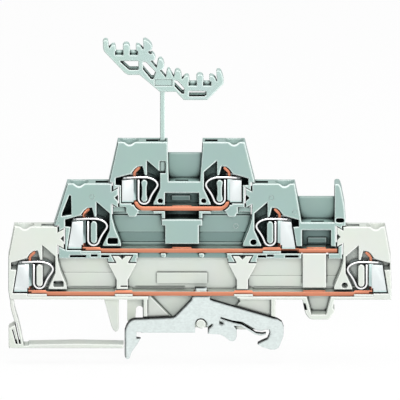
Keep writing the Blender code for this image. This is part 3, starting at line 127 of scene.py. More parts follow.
# How far plates reach into the wall behind them, how far the joints' strips of painted shade stand
# proud, depth of a bed.
PLATE_ROOT = 0.1
JOINT_PROUD = 0.14
BED_DEPTH = 3.0
SHADE_STRIP_SET_BACK = 0.08
# Rounding of the plates, and of the strips of painted shade in the windows and under the pockets.
PLATE_ROUNDING = 0.03
SHADE_STRIP_ROUNDING = 0.04
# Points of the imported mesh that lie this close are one.
WELD = 0.001
# A bar's underside is what looks down within this height of its lowest point.
UNDERSIDE = 0.1
# A face looks along an axis from this share of its normal, and a cut edge of strip along Y.
FACING = 0.9
CUT_EDGE = 0.6
# Depths under the open side at which a moulding's flat floors lie, and take painted shade.
CHUTE_DEPTH = 2.0
SHELF_DEPTHS = (0.9, 1.1)
FLOOR_DEPTHS = (3.0, 4.2)
BACK_DEPTHS = (4.2, 4.6)
# Depths and slants towards Y of a moulding's rounded rims, which take a painted highlight, and
# where one takes painted shade instead.
RIM_DEPTHS = (0.01, 0.14)
RIM_SLANTS = (0.2, 0.97)
SHADED_SIDE = -0.3
# Where narrow holes lie, and how far their walls stand apart at most; their walls take painted
# shade.
HOLE_DEPTHS = (0.3, 4.7)
HOLE_WIDTH = 2.2
# A wall of the carrier that looks up lies in a window, and takes painted shade, if the carrier is
# this close above it.
ROOF_SLANT = 0.3
ROOF_HEIGHT = 4.0
# A pocket's set-back lip: how far behind the pocket's front it starts, and how deep it is.
LIP_START = 0.3
LIP_DEPTH = 0.5
# Height of a pocket's sill, and height and depth of the black strip of painted shadow under it.
POCKET_SILL = 0.42
SHADOW_STRIP_HEIGHT = 0.36
SHADOW_STRIP_DEPTH = 0.7
# Left, right, front and foot of the one pocket whose slit, and so its strip of painted shadow, is
# longer than the pocket.
LONG_SLIT = (21.45, 25.75, -2.2, 23.15)
# Round the bend of a bar, which takes painted shade: reach behind the pocket, reach past it, and
# top over the pocket's foot.
BEND_BEHIND = 0.6
BEND_PAST = 1.7
BEND_TOP = 2.6
# Parts of the foot's normals from which a cut edge looks up or left, and takes painted shade.
SHEARED_UP = 0.35
SHEARED_LEFT = -0.6
# A ray starts this far off the face that sends it.
RAY_LIFT = 0.01 * MM
UP = Vector((0, 0, 1))
OPEN_SIDE = Vector((0, -1, 0))
# Kinds of face that a moulding has. Deep, floor and chute faces take painted shade, rims a painted
# highlight, shaded rims and slots painted shade.
FACES = ("face", "deep", "floor", "rim", "shaded_rim", "slot", "chute")
# How strongly the painted highlight lightens the rims of each kind of face, where it isn't a
# quarter.
RIM_HIGHLIGHTS = {"face": 0.9, "rim": 0.9, "slot": 0.0, "shaded_rim": 0.0}
# Share of the deepest floors' painted shade in the floors between.
FLOOR_SHADE = 0.28
# Middles of the round ejector marks.
EJECTOR_MARKS = ((-29.6, 38.45), (18.8, 38.2), (25.1, 34.2), (-39.05, 31.1), (9.2, 30.3))
# Where the lamps stand, from the middle of the block, in metres.
KEY_OFFSET = Vector((0.1, -1.05, 0.36))
TOP_OFFSET = Vector((0.05, -0.06, 0.6))
# Size of the floor, how far back its middle lies, and how much of its white is its own glow.
FLOOR_SIZE = 6.0
FLOOR_BACK = 2.0
FLOOR_GLOW = 0.9


def linear(hex_colour):
    """Linear colour with alpha of an sRGB hex string."""
    channels = [int(hex_colour[i : i + 2], 16) / 255 for i in (0, 2, 4)]
    return (*[c / 12.92 if c <= 0.04045 else ((c + 0.055) / 1.055) ** 2.4 for c in channels], 1.0)


def colour_property(name, description, hex_colour):
    return FloatVectorProperty(
        name=name,
        description=description,
        default=linear(hex_colour),
        size=4,
        min=0.0,
        max=1.0,
        subtype="COLOR",
    )


class HousingLooks(bpy.types.PropertyGroup):
    """Colours and edges of the moulded pieces."""

    # Besides the plain grey, carrier and pale colours, these paint light and shade: the shade and
    # chute colours on deep floors, the hollow colours in hollows, the gap colour in narrow gaps,
    # and the rim colours as highlights and dark lines on rims.
    grey: colour_property("Grey polyamide", "Upper and middle housing", "94AEA8")
    grey_shade: colour_property("Grey shade", "Deepest floors of grey polyamide", "748F8B")
    grey_hollow_shade: colour_property("Grey hollow", "Grey polyamide inside its hollows", "141D1C")
    grey_chute_shade: colour_property("Grey chute", "Chutes under the jumper bays", "647E7B")
    grey_rim_highlight: colour_property("Grey edge", "Grey rims in light", "E4F1ED")
    grey_rim_shade: colour_property("Grey dark edge", "Grey rims in shade", "1C2725")
    carrier: colour_property("Carrier polyamide", "Marker carrier", "ACC3BD")
    carrier_rim_shade: colour_property("Carrier dark edge", "Carrier rims in shade", "3A4A44")
    pale: colour_property("Pale polyamide", "Lower housing", "D0D6CE")
    pale_shade: colour_property("Pale shade", "Deepest floors of pale polyamide", "D6DCD4")
    pale_hollow_shade: colour_property("Pale hollow", "Pale polyamide inside its hollows", "BCC2BD")
    pale_rim_highlight: colour_property("Pale edge", "Pale rims in light", "EBEEE9")
    pale_rim_shade: colour_property("Pale dark edge", "Pale rims in shade", "868D87")
    gap: colour_property("Gap", "Narrow gaps in all mouldings", "0C1010")
    mark_radius: FloatProperty(
        name="Ejector mark radius",
        description="Outer radius of the round marks that the ejector pins leave",
        default=0.72 * MM,
        min=0.0,
        unit="LENGTH",
    )


class MetalLooks(bpy.types.PropertyGroup):
    """Colours and edges of the metal pieces."""

    copper: colour_property("Copper", "Cut edges of the bars", "D2886A")
    shaded_copper: colour_property("Shaded copper", "Bends of the bars by the pockets", "4A2A22")
    tin: colour_property("Tin", "Broad faces of the bars", "C9CDC6")
    spring: colour_property("Spring strip", "Cut edges of the clamp springs", "FFFFFF")
    # Painted reflection: the spring's flanks are darker than its cut edges.
    spring_flank_shade: colour_property("Spring flank", "Rolled faces of the clamp springs", "AAB2B4")
    sheet: colour_property("Pocket sheet", "Conductor pockets", "D4DADA")
    # Painted shade: the pocket's lip and the sill under it.
    lip: colour_property("Pocket lip", "Set-back lip of the pockets", "C6DCD9")
    plate: colour_property("Plated steel", "Mounting foot", "E4EEEC")
    # Painted shade: near black on the foot's upper cut edges and in the strips under the pockets.
    black_shade: colour_property("Sheared edge", "Upper cut edges of the mounting foot", "0B0E0F")
    edge_radius: FloatProperty(
        name="Edge radius",
        description="Rounding of a punched edge",
        default=0.05 * MM,
        min=0.0,
        unit="LENGTH",
    )
    bar_seat: FloatProperty(
        name="Bar seat",
        description="How far a bar's underside settles into the clearance under it",
        default=0.2 * MM,
        min=0.0,
        unit="LENGTH",
    )


class StageLooks(bpy.types.PropertyGroup):
    """Camera, light and floor."""

    azimuth: FloatProperty(
        name="Azimuth",
        description="Camera to the left of straight on",
        default=math.radians(-0.2),
        subtype="ANGLE",
    )
    elevation: FloatProperty(
        name="Elevation",
        description="Camera above level",
        default=math.radians(17.0),
        subtype="ANGLE",
    )
    roll: FloatProperty(
        name="Roll", description="Turn of the picture", default=0.0, subtype="ANGLE"
    )
    pixel: FloatProperty(
        name="Pixel",
        description="Size that one pixel of the picture covers",
        default=MM / 3.71,
        unit="LENGTH",
    )
    seat_column: FloatProperty(
        name="Seat column", description="Column of the rail seat in the picture", default=201.8
    )
    seat_row: FloatProperty(
        name="Seat row", description="Row of the rail seat in the picture", default=333.5
    )
    floor_drop: FloatProperty(
        name="Floor drop",
        description="Floor under the lowest point",
        default=1.5 * MM,
        unit="LENGTH",
    )
    floor: colour_property("Floor", "Floor and backdrop", "FFFFFF")
    key_power: FloatProperty(name="Key", description="Key light", default=6.4, unit="POWER")
    top_power: FloatProperty(name="Top", description="Light from above", default=2.4, unit="POWER")
    sky: FloatProperty(name="Sky", description="Strength of the even light all round", default=0.4)


# Material tools


def new_material(name):
    """A material with an empty tree but its Principled shader and output."""
    made = bpy.data.materials.new(name)
    made.use_nodes = True
    return made, made.node_tree, made.node_tree.nodes["Principled BSDF"]


def add_node(tree, kind, settings=None, links=None):
    """Adds a node; settings go to its properties or sockets, links join sockets to its inputs."""
    node = tree.nodes.new("ShaderNode" + kind)
    for key, value in (settings or {}).items():
        if isinstance(key, str) and key in node.bl_rna.properties:
            setattr(node, key, value)
        else:
            node.inputs[key].default_value = value
    for key, socket in (links or {}).items():
        tree.links.new(socket, node.inputs[key])
    return node


def per_mm(size):
    """Texture scale at which a feature is this many millimetres across."""
    return 1.0 / (size * MM)


def seen_directly(tree):
    """Socket that is 1 where the camera, a mirror or glass looks at a surface, 0 for its light."""
    path = add_node(tree, "LightPath")
    seen = path.outputs["Is Camera Ray"]
    for ray in ("Is Glossy Ray", "Is Transmission Ray"):
        both = add_node(tree, "Math", {"operation": "MAXIMUM"}, {0: seen, 1: path.outputs[ray]})
        seen = both.outputs["Value"]
    return seen


def soft_edges(tree, radius):
    """Sockets: near an edge of a front face, at the very edge, the rounded normal, and flank."""
    soft = add_node(tree, "Bevel", {"samples": 8, "Radius": radius})
    sharp = add_node(tree, "NewGeometry")
    turn = add_node(
        tree,
        "VectorMath",
        {"operation": "DOT_PRODUCT"},
        {0: soft.outputs["Normal"], 1: sharp.outputs["Normal"]},
    )
    near_edge = add_node(
        tree, "MapRange", {"From Min": 0.992, "From Max": 0.965}, {"Value": turn.outputs["Value"]}
    )
    very_edge = add_node(
        tree, "MapRange", {"From Min": 0.965, "From Max": 0.91}, {"Value": turn.outputs["Value"]}
    )
    facing = add_node(tree, "SeparateXYZ", {}, {"Vector": sharp.outputs["Normal"]})
    flank = add_node(
        tree, "MapRange", {"From Min": -0.7, "From Max": -0.3}, {"Value": facing.outputs["Y"]}
    )
    front = add_node(
        tree, "Math", {"operation": "SUBTRACT", 0: 1.0}, {1: flank.outputs["Result"]}
    )
    on_front = add_node(
        tree,
        "Math",
        {"operation": "MULTIPLY"},
        {0: near_edge.outputs["Result"], 1: front.outputs["Value"]},
    )
    sockets = (on_front.outputs["Value"], very_edge.outputs["Result"])
    return (*sockets, soft.outputs["Normal"], flank.outputs["Result"])


def moulded_polyamide(name, body, hollow_shade, gap, edge, rim_shade, highlight_strength):
    """Injection-moulded polyamide 66, spark-eroded tool finish: soft even sheen, fine grain.

    Painted shade darkens the hollows and turns narrow gaps nearly black. Rims take a painted
    highlight, and those that look down or left end in a painted dark line of shade.
    """
    made, tree, shader = new_material(name)
    place = add_node(tree, "TexCoord").outputs["Object"]
    # Real grain is about 0.03 mm; drawn at 0.3 mm so that it shows.
    grain = add_node(tree, "TexNoise", {"Scale": per_mm(0.3), "Detail": 3.0}, {"Vector": place})
    flow = add_node(tree, "TexNoise", {"Scale": per_mm(7.0), "Detail": 2.0}, {"Vector": place})
    near = add_node(tree, "AmbientOcclusion", {"samples": 12, "Distance": 0.9 * MM})
    far = add_node(tree, "AmbientOcclusion", {"samples": 12, "Distance": 4.0 * MM})
    near_edge, very_edge, soft_normal, flank = soft_edges(tree, 0.6 * MM)
    smooth = {"interpolation_type": "SMOOTHSTEP"}
    open_floor = add_node(
        tree,
        "MapRange",
        {**smooth, "From Min": 0.26, "From Max": 0.54},
        {"Value": far.outputs["AO"]},
    )
    open_flank = add_node(
        tree,
        "MapRange",
        {**smooth, "From Min": 0.3, "From Max": 0.85},
        {"Value": far.outputs["AO"]},
    )
    open_far = add_node(
        tree,
        "Mix",
        {"data_type": "FLOAT"},
        {0: flank, 2: open_floor.outputs["Result"], 3: open_flank.outputs["Result"]},
    )
    open_near = add_node(
        tree,
        "MapRange",
        {**smooth, "From Min": 0.4, "From Max": 0.88},
        {"Value": near.outputs["AO"]},
    )
    tinted = add_node(
        tree,
        "Mix",
        {"data_type": "RGBA", "blend_type": "MULTIPLY", 0: 0.08, 6: body},
        {7: flow.outputs["Color"]},
    )
    # Painted shade: hollows blend to the hollow colour, narrow gaps to the gap colour.
    shaded = add_node(
        tree,
        "Mix",
        {"data_type": "RGBA", 6: hollow_shade},
        {0: open_far.outputs[0], 7: tinted.outputs[2]},
    )
    in_gap_shade = add_node(
        tree,
        "Mix",
        {"data_type": "RGBA", 6: gap},
        {0: open_near.outputs["Result"], 7: shaded.outputs[2]},
    )
    # Painted highlight on convex rims, ending in a painted dark line of shade where a rim looks
    # down or left.
    convex = add_node(
        tree,
        "MapRange",
        {"From Min": 0.8, "From Max": 0.97, "To Max": highlight_strength},
        {"Value": near.outputs["AO"]},
    )
    rim = add_node(
        tree, "Math", {"operation": "MULTIPLY"}, {0: near_edge, 1: convex.outputs["Result"]}
    )
    up_or_right = add_node(
        tree, "VectorMath", {"operation": "DOT_PRODUCT", 1: (0.75, 0.0, 0.66)}, {0: soft_normal}
    )
    shaded_side = add_node(
        tree,
        "MapRange",
        {"From Min": 0.0, "From Max": -0.25},
        {"Value": up_or_right.outputs["Value"]},
    )
    dark_line = add_node(
        tree, "Math", {"operation": "MULTIPLY"}, {0: very_edge, 1: shaded_side.outputs["Result"]}
    )
    rim_colour = add_node(
        tree, "Mix", {"data_type": "RGBA", 6: edge, 7: rim_shade}, {0: dark_line.outputs["Value"]}
    )
    coloured = add_node(
        tree,
        "Mix",
        {"data_type": "RGBA"},
        {0: rim.outputs["Value"], 6: in_gap_shade.outputs[2], 7: rim_colour.outputs[2]},
    )
    bump = add_node(
        tree, "Bump", {"Strength": 0.25, "Distance": 0.02 * MM}, {"Height": grain.outputs["Fac"]}
    )
    # Hollows and gaps have no bright room to mirror.
    sheen = add_node(
        tree,
        "Math",
        {"operation": "MULTIPLY"},
        {0: open_far.outputs[0], 1: open_near.outputs["Result"]},
    )
    level = add_node(tree, "Math", {"operation": "MULTIPLY", 1: 0.5}, {0: sheen.outputs["Value"]})
    tree.links.new(coloured.outputs[2], shader.inputs["Base Color"])
    tree.links.new(bump.outputs["Normal"], shader.inputs["Normal"])
    if highlight_strength:
        tree.links.new(level.outputs["Value"], shader.inputs["Specular IOR Level"])
    else:
        shader.inputs["Specular IOR Level"].default_value = 0.05
    shader.inputs["Roughness"].default_value = 0.45
    shader.inputs["IOR"].default_value = 1.53
    return made


def metal(name, colour, dark, roughness, grain, stretch, contrast, metallic=1.0, line=None):
    """A metal surface: colour and gloss vary along its drawing or punching lines.

    It turns to the dark colour in hollows, a painted shade. The grain is in millimetres, and a line
    colour paints shade on the edges that look up or left.
    """
    made, tree, shader = new_material(name)
    place = add_node(tree, "TexCoord").outputs["Object"]
    drawn = add_node(tree, "Mapping", {"Scale": stretch}, {"Vector": place})
    lines = add_node(
        tree,
        "TexNoise",
        {"Scale": per_mm(grain), "Detail": 4.0, "Roughness": 0.6},
        {"Vector": drawn.outputs["Vector"]},
    )
    open_to_light = add_node(tree, "AmbientOcclusion", {"samples": 8, "Distance": 1.2 * MM})
    depth = add_node(
        tree,
        "MapRange",
        {"From Min": 0.1, "From Max": 0.65},
        {"Value": open_to_light.outputs["AO"]},
    )
    darker = [channel * (1 - contrast) for channel in colour[:3]] + [1.0]
    grained = add_node(
        tree, "Mix", {"data_type": "RGBA", 6: darker, 7: colour}, {0: lines.outputs["Fac"]}
    )
    # Painted shade: the dark colour in hollows.
    shaded = add_node(
        tree,
        "Mix",
        {"data_type": "RGBA", 6: dark},
        {0: depth.outputs["Result"], 7: grained.outputs[2]},
    )
    gloss = add_node(
        tree,
        "MapRange",
        {"To Min": roughness - 0.06, "To Max": roughness + 0.08},
        {"Value": lines.outputs["Fac"]},
    )
    bump = add_node(
        tree, "Bump", {"Strength": 0.15, "Distance": 0.02 * MM}, {"Height": lines.outputs["Fac"]}
    )
    finish = shaded
    if line:
        # A painted dark line of shade on the edges that look up or left.
        near_edge, _, soft_normal, _ = soft_edges(tree, 1.1 * MM)
        up_or_left = add_node(
            tree, "VectorMath", {"operation": "DOT_PRODUCT", 1: (-0.7, 0.0, 0.71)}, {0: soft_normal}
        )
        painted_edge_line = add_node(
            tree,
            "MapRange",
            {"From Min": 0.1, "From Max": 0.3},
            {"Value": up_or_left.outputs["Value"]},
        )
        strength = add_node(
            tree, "Math", {"operation": "MULTIPLY"}, {0: near_edge, 1: painted_edge_line.outputs["Result"]}
        )
        finish = add_node(
            tree,
            "Mix",
            {"data_type": "RGBA", 7: line},
            {0: strength.outputs["Value"], 6: shaded.outputs[2]},
        )
    tree.links.new(finish.outputs[2], shader.inputs["Base Color"])
    tree.links.new(gloss.outputs["Result"], shader.inputs["Roughness"])
    tree.links.new(bump.outputs["Normal"], shader.inputs["Normal"])
    shader.inputs["Metallic"].default_value = metallic
    return made


def housing_materials(shade):
    """A moulding's materials, made once, in the order of FACES."""
    looks = bpy.context.scene.terminal_housing
    if shade == "pale":
        body, deep, chute = looks.pale, looks.pale_shade, looks.pale_shade
        hollow_shade, edge, rim_shade = looks.pale_hollow_shade, looks.pale_rim_highlight, looks.pale_rim_shade
    else:
        body, deep, chute = looks.grey, looks.grey_shade, looks.grey_chute_shade
        hollow_shade, edge, rim_shade = looks.grey_hollow_shade, looks.grey_rim_highlight, looks.grey_rim_shade
    if shade == "carrier":
        body = hollow_shade = looks.carrier
        rim_shade = looks.carrier_rim_shade
    # The deep, floor and chute colours are painted shade; the rim colours are a painted highlight
    # and painted shade.
    colours = {
        "face": body,
        "deep": deep,
        "floor": [(1 - FLOOR_SHADE) * a + FLOOR_SHADE * b for a, b in zip(body, deep)],
        "rim": edge,
        "shaded_rim": rim_shade,
        "slot": looks.gap,
        "chute": chute,
    }
    made = []
    for name in FACES:
        title = "moulded_polyamide_" + shade + "_" + name
        strength = RIM_HIGHLIGHTS.get(name, 0.25)
        found = bpy.data.materials.get(title)
        shades = (colours[name], hollow_shade, looks.gap, edge, rim_shade)
        made.append(found or moulded_polyamide(title, *shades, strength))
    return made


def mesh_tree(mesh):
    return BVHTree.FromPolygons(
        [vertex.co for vertex in mesh.vertices], [face.vertices[:] for face in mesh.polygons]
    )


def within(value, limits):
    return limits[0] < value < limits[1]


def face_chooser(mesh):
    """A function that tells which of a moulding's materials a face takes."""
    tree = mesh_tree(mesh)

    def choose(face):
        x, z = face.center.x / MM, face.center.z / MM
        depth = (face.center.y - CAD_BOX[0].y) / MM
        front_facing = face.normal.y < -FACING
        if within(depth, RIM_DEPTHS) and within(abs(face.normal.y), RIM_SLANTS):
            return FACES.index("shaded_rim" if face.normal.x < SHADED_SIDE else "rim")
        if front_facing and depth > CHUTE_DEPTH:
            if any(a < x < c and b < z < d for a, b, c, d in CHUTES):
                return FACES.index("chute")
        if front_facing and (within(depth, SHELF_DEPTHS) or within(depth, BACK_DEPTHS)):
            return FACES.index("deep")
        if front_facing and within(depth, FLOOR_DEPTHS):
            return FACES.index("floor")
        # A narrow hole that opens at the top alone takes painted shade: black.
        start = face.center + face.normal * RAY_LIFT
        across = tree.ray_cast(start, face.normal, HOLE_WIDTH * MM)[0]
        if across and within(depth, HOLE_DEPTHS) and not tree.ray_cast(start, UP)[0]:
            if tree.ray_cast(start, OPEN_SIDE)[0]:
                return FACES.index("slot")
        return FACES.index("face")

    return choose


# Geometry tools


def dressed_copy(node, name, edge=0.0, settle=0.0):
    """A copy of a CAD node with its edges rounded, its bends smooth and its underside settled."""
    shape = bmesh.new()
    shape.from_mesh(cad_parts[node].data)
    bmesh.ops.remove_doubles(shape, verts=shape.verts, dist=WELD * MM)
    if settle:
        lowest = min(vertex.co.z for vertex in shape.verts) + UNDERSIDE * MM
        under = {
            vertex
            for face in shape.faces
            if face.normal.z < -FACING and face.calc_center_median().z < lowest
            for vertex in face.verts
        }
        for vertex in under:
            vertex.co.z -= settle
    mesh = bpy.data.meshes.new(name)
    shape.to_mesh(mesh)
    shape.free()
    piece = bpy.data.objects.new(name, mesh)
    bpy.context.scene.collection.objects.link(piece)
    if edge:
        rounding = piece.modifiers.new("rounded edges", "BEVEL")
        rounding.width = edge
        rounding.segments = 2
        rounding.limit_method = "ANGLE"
        rounding.angle_limit = math.radians(40.0)
        weighting = piece.modifiers.new("flat faces stay flat", "WEIGHTED_NORMAL")
        weighting.keep_sharp = True
        finish_mesh(piece)
        piece.data.shade_smooth()
        piece.data.set_sharp_from_angle(angle=math.radians(32.0))
    else:
        piece.data.shade_flat()
    return piece


def finish_mesh(piece):
    """Applies a piece's modifiers to its mesh."""
    evaluated = piece.evaluated_get(bpy.context.evaluated_depsgraph_get())
    mesh = bpy.data.meshes.new_from_object(evaluated)
    old = piece.data
    piece.modifiers.clear()
    piece.data = mesh
    mesh.name = piece.name
    bpy.data.meshes.remove(old)


def paint(piece, materials, choose=None):
    """Gives a piece its materials, and each face the one whose number choose(face) tells."""
    piece.data.materials.clear()
    for made in materials:
        piece.data.materials.append(made)
    for face in piece.data.polygons:
        face.material_index = choose(face) if choose else 0


def split(piece, normal, places):
    """Cuts a piece's faces, not its shape, along planes, so that each side has its own finish."""
    shape = bmesh.new()
    shape.from_mesh(piece.data)
    for place in places:
        everything = shape.verts[:] + shape.edges[:] + shape.faces[:]
        bmesh.ops.bisect_plane(
            shape, geom=everything, dist=1e-7, plane_co=Vector(normal) * place, plane_no=normal
        )
    shape.to_mesh(piece.data)
    shape.free()


def prism(name, outline, front, back):
    """A solid from an XZ outline in millimetres, from front to back along Y."""
    shape = bmesh.new()
    face = shape.faces.new([shape.verts.new((x * MM, front * MM, z * MM)) for x, z in outline])
    pulled = bmesh.ops.extrude_face_region(shape, geom=[face])
    moved = [item for item in pulled["geom"] if isinstance(item, bmesh.types.BMVert)]
    bmesh.ops.translate(shape, verts=moved, vec=(0.0, (back - front) * MM, 0.0))
    bmesh.ops.recalc_face_normals(shape, faces=shape.faces)
    mesh = bpy.data.meshes.new(name)
    shape.to_mesh(mesh)
    shape.free()
    made = bpy.data.objects.new(name, mesh)
    bpy.context.scene.collection.objects.link(made)
    return made


def round_edges(piece, radius):
    """Rounds the sharp edges of a small prism."""
    rounding = piece.modifiers.new("rounded edges", "BEVEL")
    rounding.width = radius
    rounding.segments = 2
    finish_mesh(piece)


def carve(piece, outline, back):
    """Cuts a prism out of a piece, from its open side to a depth along Y in millimetres."""
    tool = prism("carving", outline, CARVE_FRONT, back)
    cutting = piece.modifiers.new("carving", "BOOLEAN")
    cutting.operation = "DIFFERENCE"
    cutting.solver = "EXACT"
    cutting.object = tool
    finish_mesh(piece)
    bpy.data.objects.remove(tool)


def seat(piece, node, body="block"):
    """The piece rides on the node's body and stands for the node."""
    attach(piece, body)
    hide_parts(node)
    return piece


class LooksOperator:
    """What every operator here shares."""

    bl_options = {"REGISTER", "UNDO"}

    @classmethod
    def poll(cls, context):
        return context.scene is not None


class TERMINAL_OT_housings(LooksOperator, bpy.types.Operator):
    """Dress the three moulded housings"""

    bl_idname = "terminal.housings"
    bl_label = "Housings"

    def execute(self, context):
        for node, slot in HOUSINGS.items():
            piece = dressed_copy(node, "moulded_" + node)
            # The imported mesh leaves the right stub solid.
            if node == "lower_housing":
                carve(piece, STUB_HOLLOW, BACK_WALL_FRONT)
                carve(piece, STUB_SLOT, STUB_SLOT_BACK)
            paint(piece, housing_materials(slot.split("_")[0]), face_chooser(piece.data))
            seat(piece, node)
        return {"FINISHED"}


class TERMINAL_OT_back_plates(LooksOperator, bpy.types.Operator):
    """Lay the thin ledges and the dark strips of painted shade at the joints on the back walls, and
    the beds under the bars
    """

    bl_idname = "terminal.back_plates"
    bl_label = "Back Plates"

    def execute(self, context):
        back = BACK_WALL_FRONT + PLATE_ROOT
        for name, corners, proud in TRAY_LEDGES:
            self.lay(name, corners, BACK_WALL_FRONT - proud, back, "pale", "deep")
        for name, corners in TRAY_JOINT_SHADES:
            self.lay(name, corners, BACK_WALL_FRONT - JOINT_PROUD, back, "pale", "shaded_rim")
        front = CAD_BOX[0].y / MM
        for shade, beds in BAR_BEDS.items():
            for count, corners in enumerate(beds):
                name = shade + "_bar_bed_" + str(count)
                self.lay(name, corners, front, front + BED_DEPTH, shade, "face")
        return {"FINISHED"}

    def lay(self, name, corners, front, back, shade, finish):
        """One flat plate with slightly rounded edges."""
        left, low, right, high = corners
        outline = ((left, low), (right, low), (right, high), (left, high))
        plate = prism(name, outline, front, back)
        round_edges(plate, PLATE_ROUNDING * MM)
        paint(plate, housing_materials(shade), lambda face: FACES.index(finish))
        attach(plate, "block")


class TERMINAL_OT_ejector_marks(LooksOperator, bpy.types.Operator):
    """Raise the round marks that the ejector pins leave on the towers"""

    bl_idname = "terminal.ejector_marks"
    bl_label = "Ejector Marks"

    def execute(self, context):
        radius = context.scene.terminal_housing.mark_radius
        shape = bmesh.new()
        turns = 24
        # Share of the radius, and height over the face in millimetres, round the ring's section.
        section = ((1.0, -0.01), (0.95, 0.05), (0.84, 0.05), (0.76, -0.01))
        for x, z in EJECTOR_MARKS:
            rings = []
            for turn in range(turns):
                angle = 2 * math.pi * turn / turns
                across, up = math.cos(angle), math.sin(angle)
                rings.append(
                    [
                        shape.verts.new(
                            (
                                x * MM + across * radius * reach,
                                CAD_BOX[0].y - rise * MM,
                                z * MM + up * radius * reach,
                            )
                        )
                        for reach, rise in section
                    ]
                )
            for turn in range(turns):
                ring, after = rings[turn], rings[(turn + 1) % turns]
                for side in range(len(section)):
                    other = (side + 1) % len(section)
                    shape.faces.new((ring[side], ring[other], after[other], after[side]))
        bmesh.ops.recalc_face_normals(shape, faces=shape.faces)
        mesh = bpy.data.meshes.new("ejector_marks")
        shape.to_mesh(mesh)
        shape.free()
        mesh.shade_smooth()
        marks = bpy.data.objects.new("ejector_marks", mesh)
        context.scene.collection.objects.link(marks)
        paint(marks, housing_materials("grey"))
        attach(marks, "block")
        return {"FINISHED"}


class TERMINAL_OT_marker_carrier(LooksOperator, bpy.types.Operator):
    """Dress the plug-in marker carrier"""

    bl_idname = "terminal.marker_carrier"
    bl_label = "Marker Carrier"

    def execute(self, context):
        piece = dressed_copy("marker_carrier", "moulded_marker_carrier")
        tree = mesh_tree(piece.data)

        def carrier_face(face):
            """The lower walls of the windows lie in shade and show nearly black."""
            start = face.center + face.normal * RAY_LIFT
            looks_up = face.normal.z >= ROOF_SLANT
            roofed = looks_up and tree.ray_cast(start, UP, ROOF_HEIGHT * MM)[0]
            return FACES.index("slot" if roofed else "face")

        paint(piece, housing_materials("carrier"), carrier_face)
        low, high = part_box("marker_carrier")
        # Black strips of painted shade on the windows' lower walls.
        for count, outline in enumerate(WINDOW_SHADE_STRIPS):
            front, back = low.y / MM + SHADE_STRIP_SET_BACK, high.y / MM - SHADE_STRIP_SET_BACK
            window_shade = prism("window_shade_strip_" + str(count), outline, front, back)
            round_edges(window_shade, SHADE_STRIP_ROUNDING * MM)
            paint(window_shade, housing_materials("carrier"), lambda face: FACES.index("slot"))
            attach(window_shade, "carrier")
        seat(piece, "marker_carrier", "carrier")
        return {"FINISHED"}


def shaded_bends(bar):
    """Where the bends of the lower and middle bars rise in the shade beside their pockets."""
    level = bar.split("_")[0]
    if level == "upper":
        return []
    bends = []
    for side, inward in (("left", 1), ("right", -1)):
        low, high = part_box("pocket_" + level + "_" + side)
        inner = high.x if inward > 0 else low.x
        behind, past = inner - inward * BEND_BEHIND * MM, inner + inward * BEND_PAST * MM
        foot, top = low.z + POCKET_SILL * MM, low.z + BEND_TOP * MM
        bends.append((min(behind, past), max(behind, past), foot, top))
    return bends


class TERMINAL_OT_bus_bars(LooksOperator, bpy.types.Operator):
    """Dress the copper bars: tinned broad faces and bare cut edges"""

    bl_idname = "terminal.bus_bars"
    bl_label = "Bus Bars"

    def execute(self, context):
        looks = context.scene.terminal_metal
        # Punching leaves the copper bare on the cut edges, with fine shear lines across them.
        shear = {"grain": 0.5, "stretch": (1, 1, 0.25)}
        bare = metal(
            "punched_copper",
            looks.copper,
            linear("5A241C"),
            roughness=0.45,
            contrast=0.15,
            metallic=0.7,
            **shear,
        )
        # Hot-dip tinned strip: dull silver with faint rolling lines along the bar.
        tinned = metal(
            "tinned_copper_strip",
            looks.tin,
            linear("4A4A46"),
            roughness=0.35,
            grain=0.4,
            stretch=(0.1, 1, 1),
            contrast=0.12,
        )
        # The same cut copper where it rises in the shade of its pocket: brown to black.
        shaded = metal(
            "punched_copper_in_shade",
            looks.shaded_copper,
            linear("140C0A"),
            roughness=0.5,
            contrast=0.2,
            **shear,
        )
        for node in BARS:
            piece = dressed_copy(node, "punched_" + node, looks.edge_radius, looks.bar_seat)
            bends = shaded_bends(node)
            for a, b, low, high in bends:
                split(piece, (1, 0, 0), (a, b))
                split(piece, (0, 0, 1), (low, high))

            def bar_face(face):
                if abs(face.normal.y) < CUT_EDGE:
                    return 1
                at = face.center
                in_painted_shade = any(a < at.x < b and low < at.z < high for a, b, low, high in bends)
                return 2 if in_painted_shade else 0

            paint(piece, (bare, tinned, shaded), bar_face)
            seat(piece, node)
        return {"FINISHED"}


class TERMINAL_OT_clamp_springs(LooksOperator, bpy.types.Operator):
    """Dress the six clamp springs"""

    bl_idname = "terminal.clamp_springs"
    bl_label = "Clamp Springs"

    def execute(self, context):
        looks = context.scene.terminal_metal
        # Cold-rolled stainless spring strip: bright, with rolling lines round the bend.
        rolling = {"dark": linear("30363A"), "grain": 0.3, "stretch": (1, 0.1, 1)}
        strip = metal("spring_strip", looks.spring, roughness=0.22, contrast=0.08, **rolling)
        # Its rolled faces take a darker colour: a painted reflection of the dark cell that they
        # stand in.
        flank_in_shade = metal(
            "spring_strip_flank_shade", looks.spring_flank_shade, roughness=0.3, contrast=0.2, **rolling
        )
        for clamp in CLAMPS:
            node = "spring_" + clamp
            piece = dressed_copy(node, "bent_" + node, looks.edge_radius)
            # Faces that look to the open side are cut edges.
            paint(piece, (strip, flank_in_shade), lambda face: int(face.normal.y > -CUT_EDGE))
            seat(piece, node)
        return {"FINISHED"}


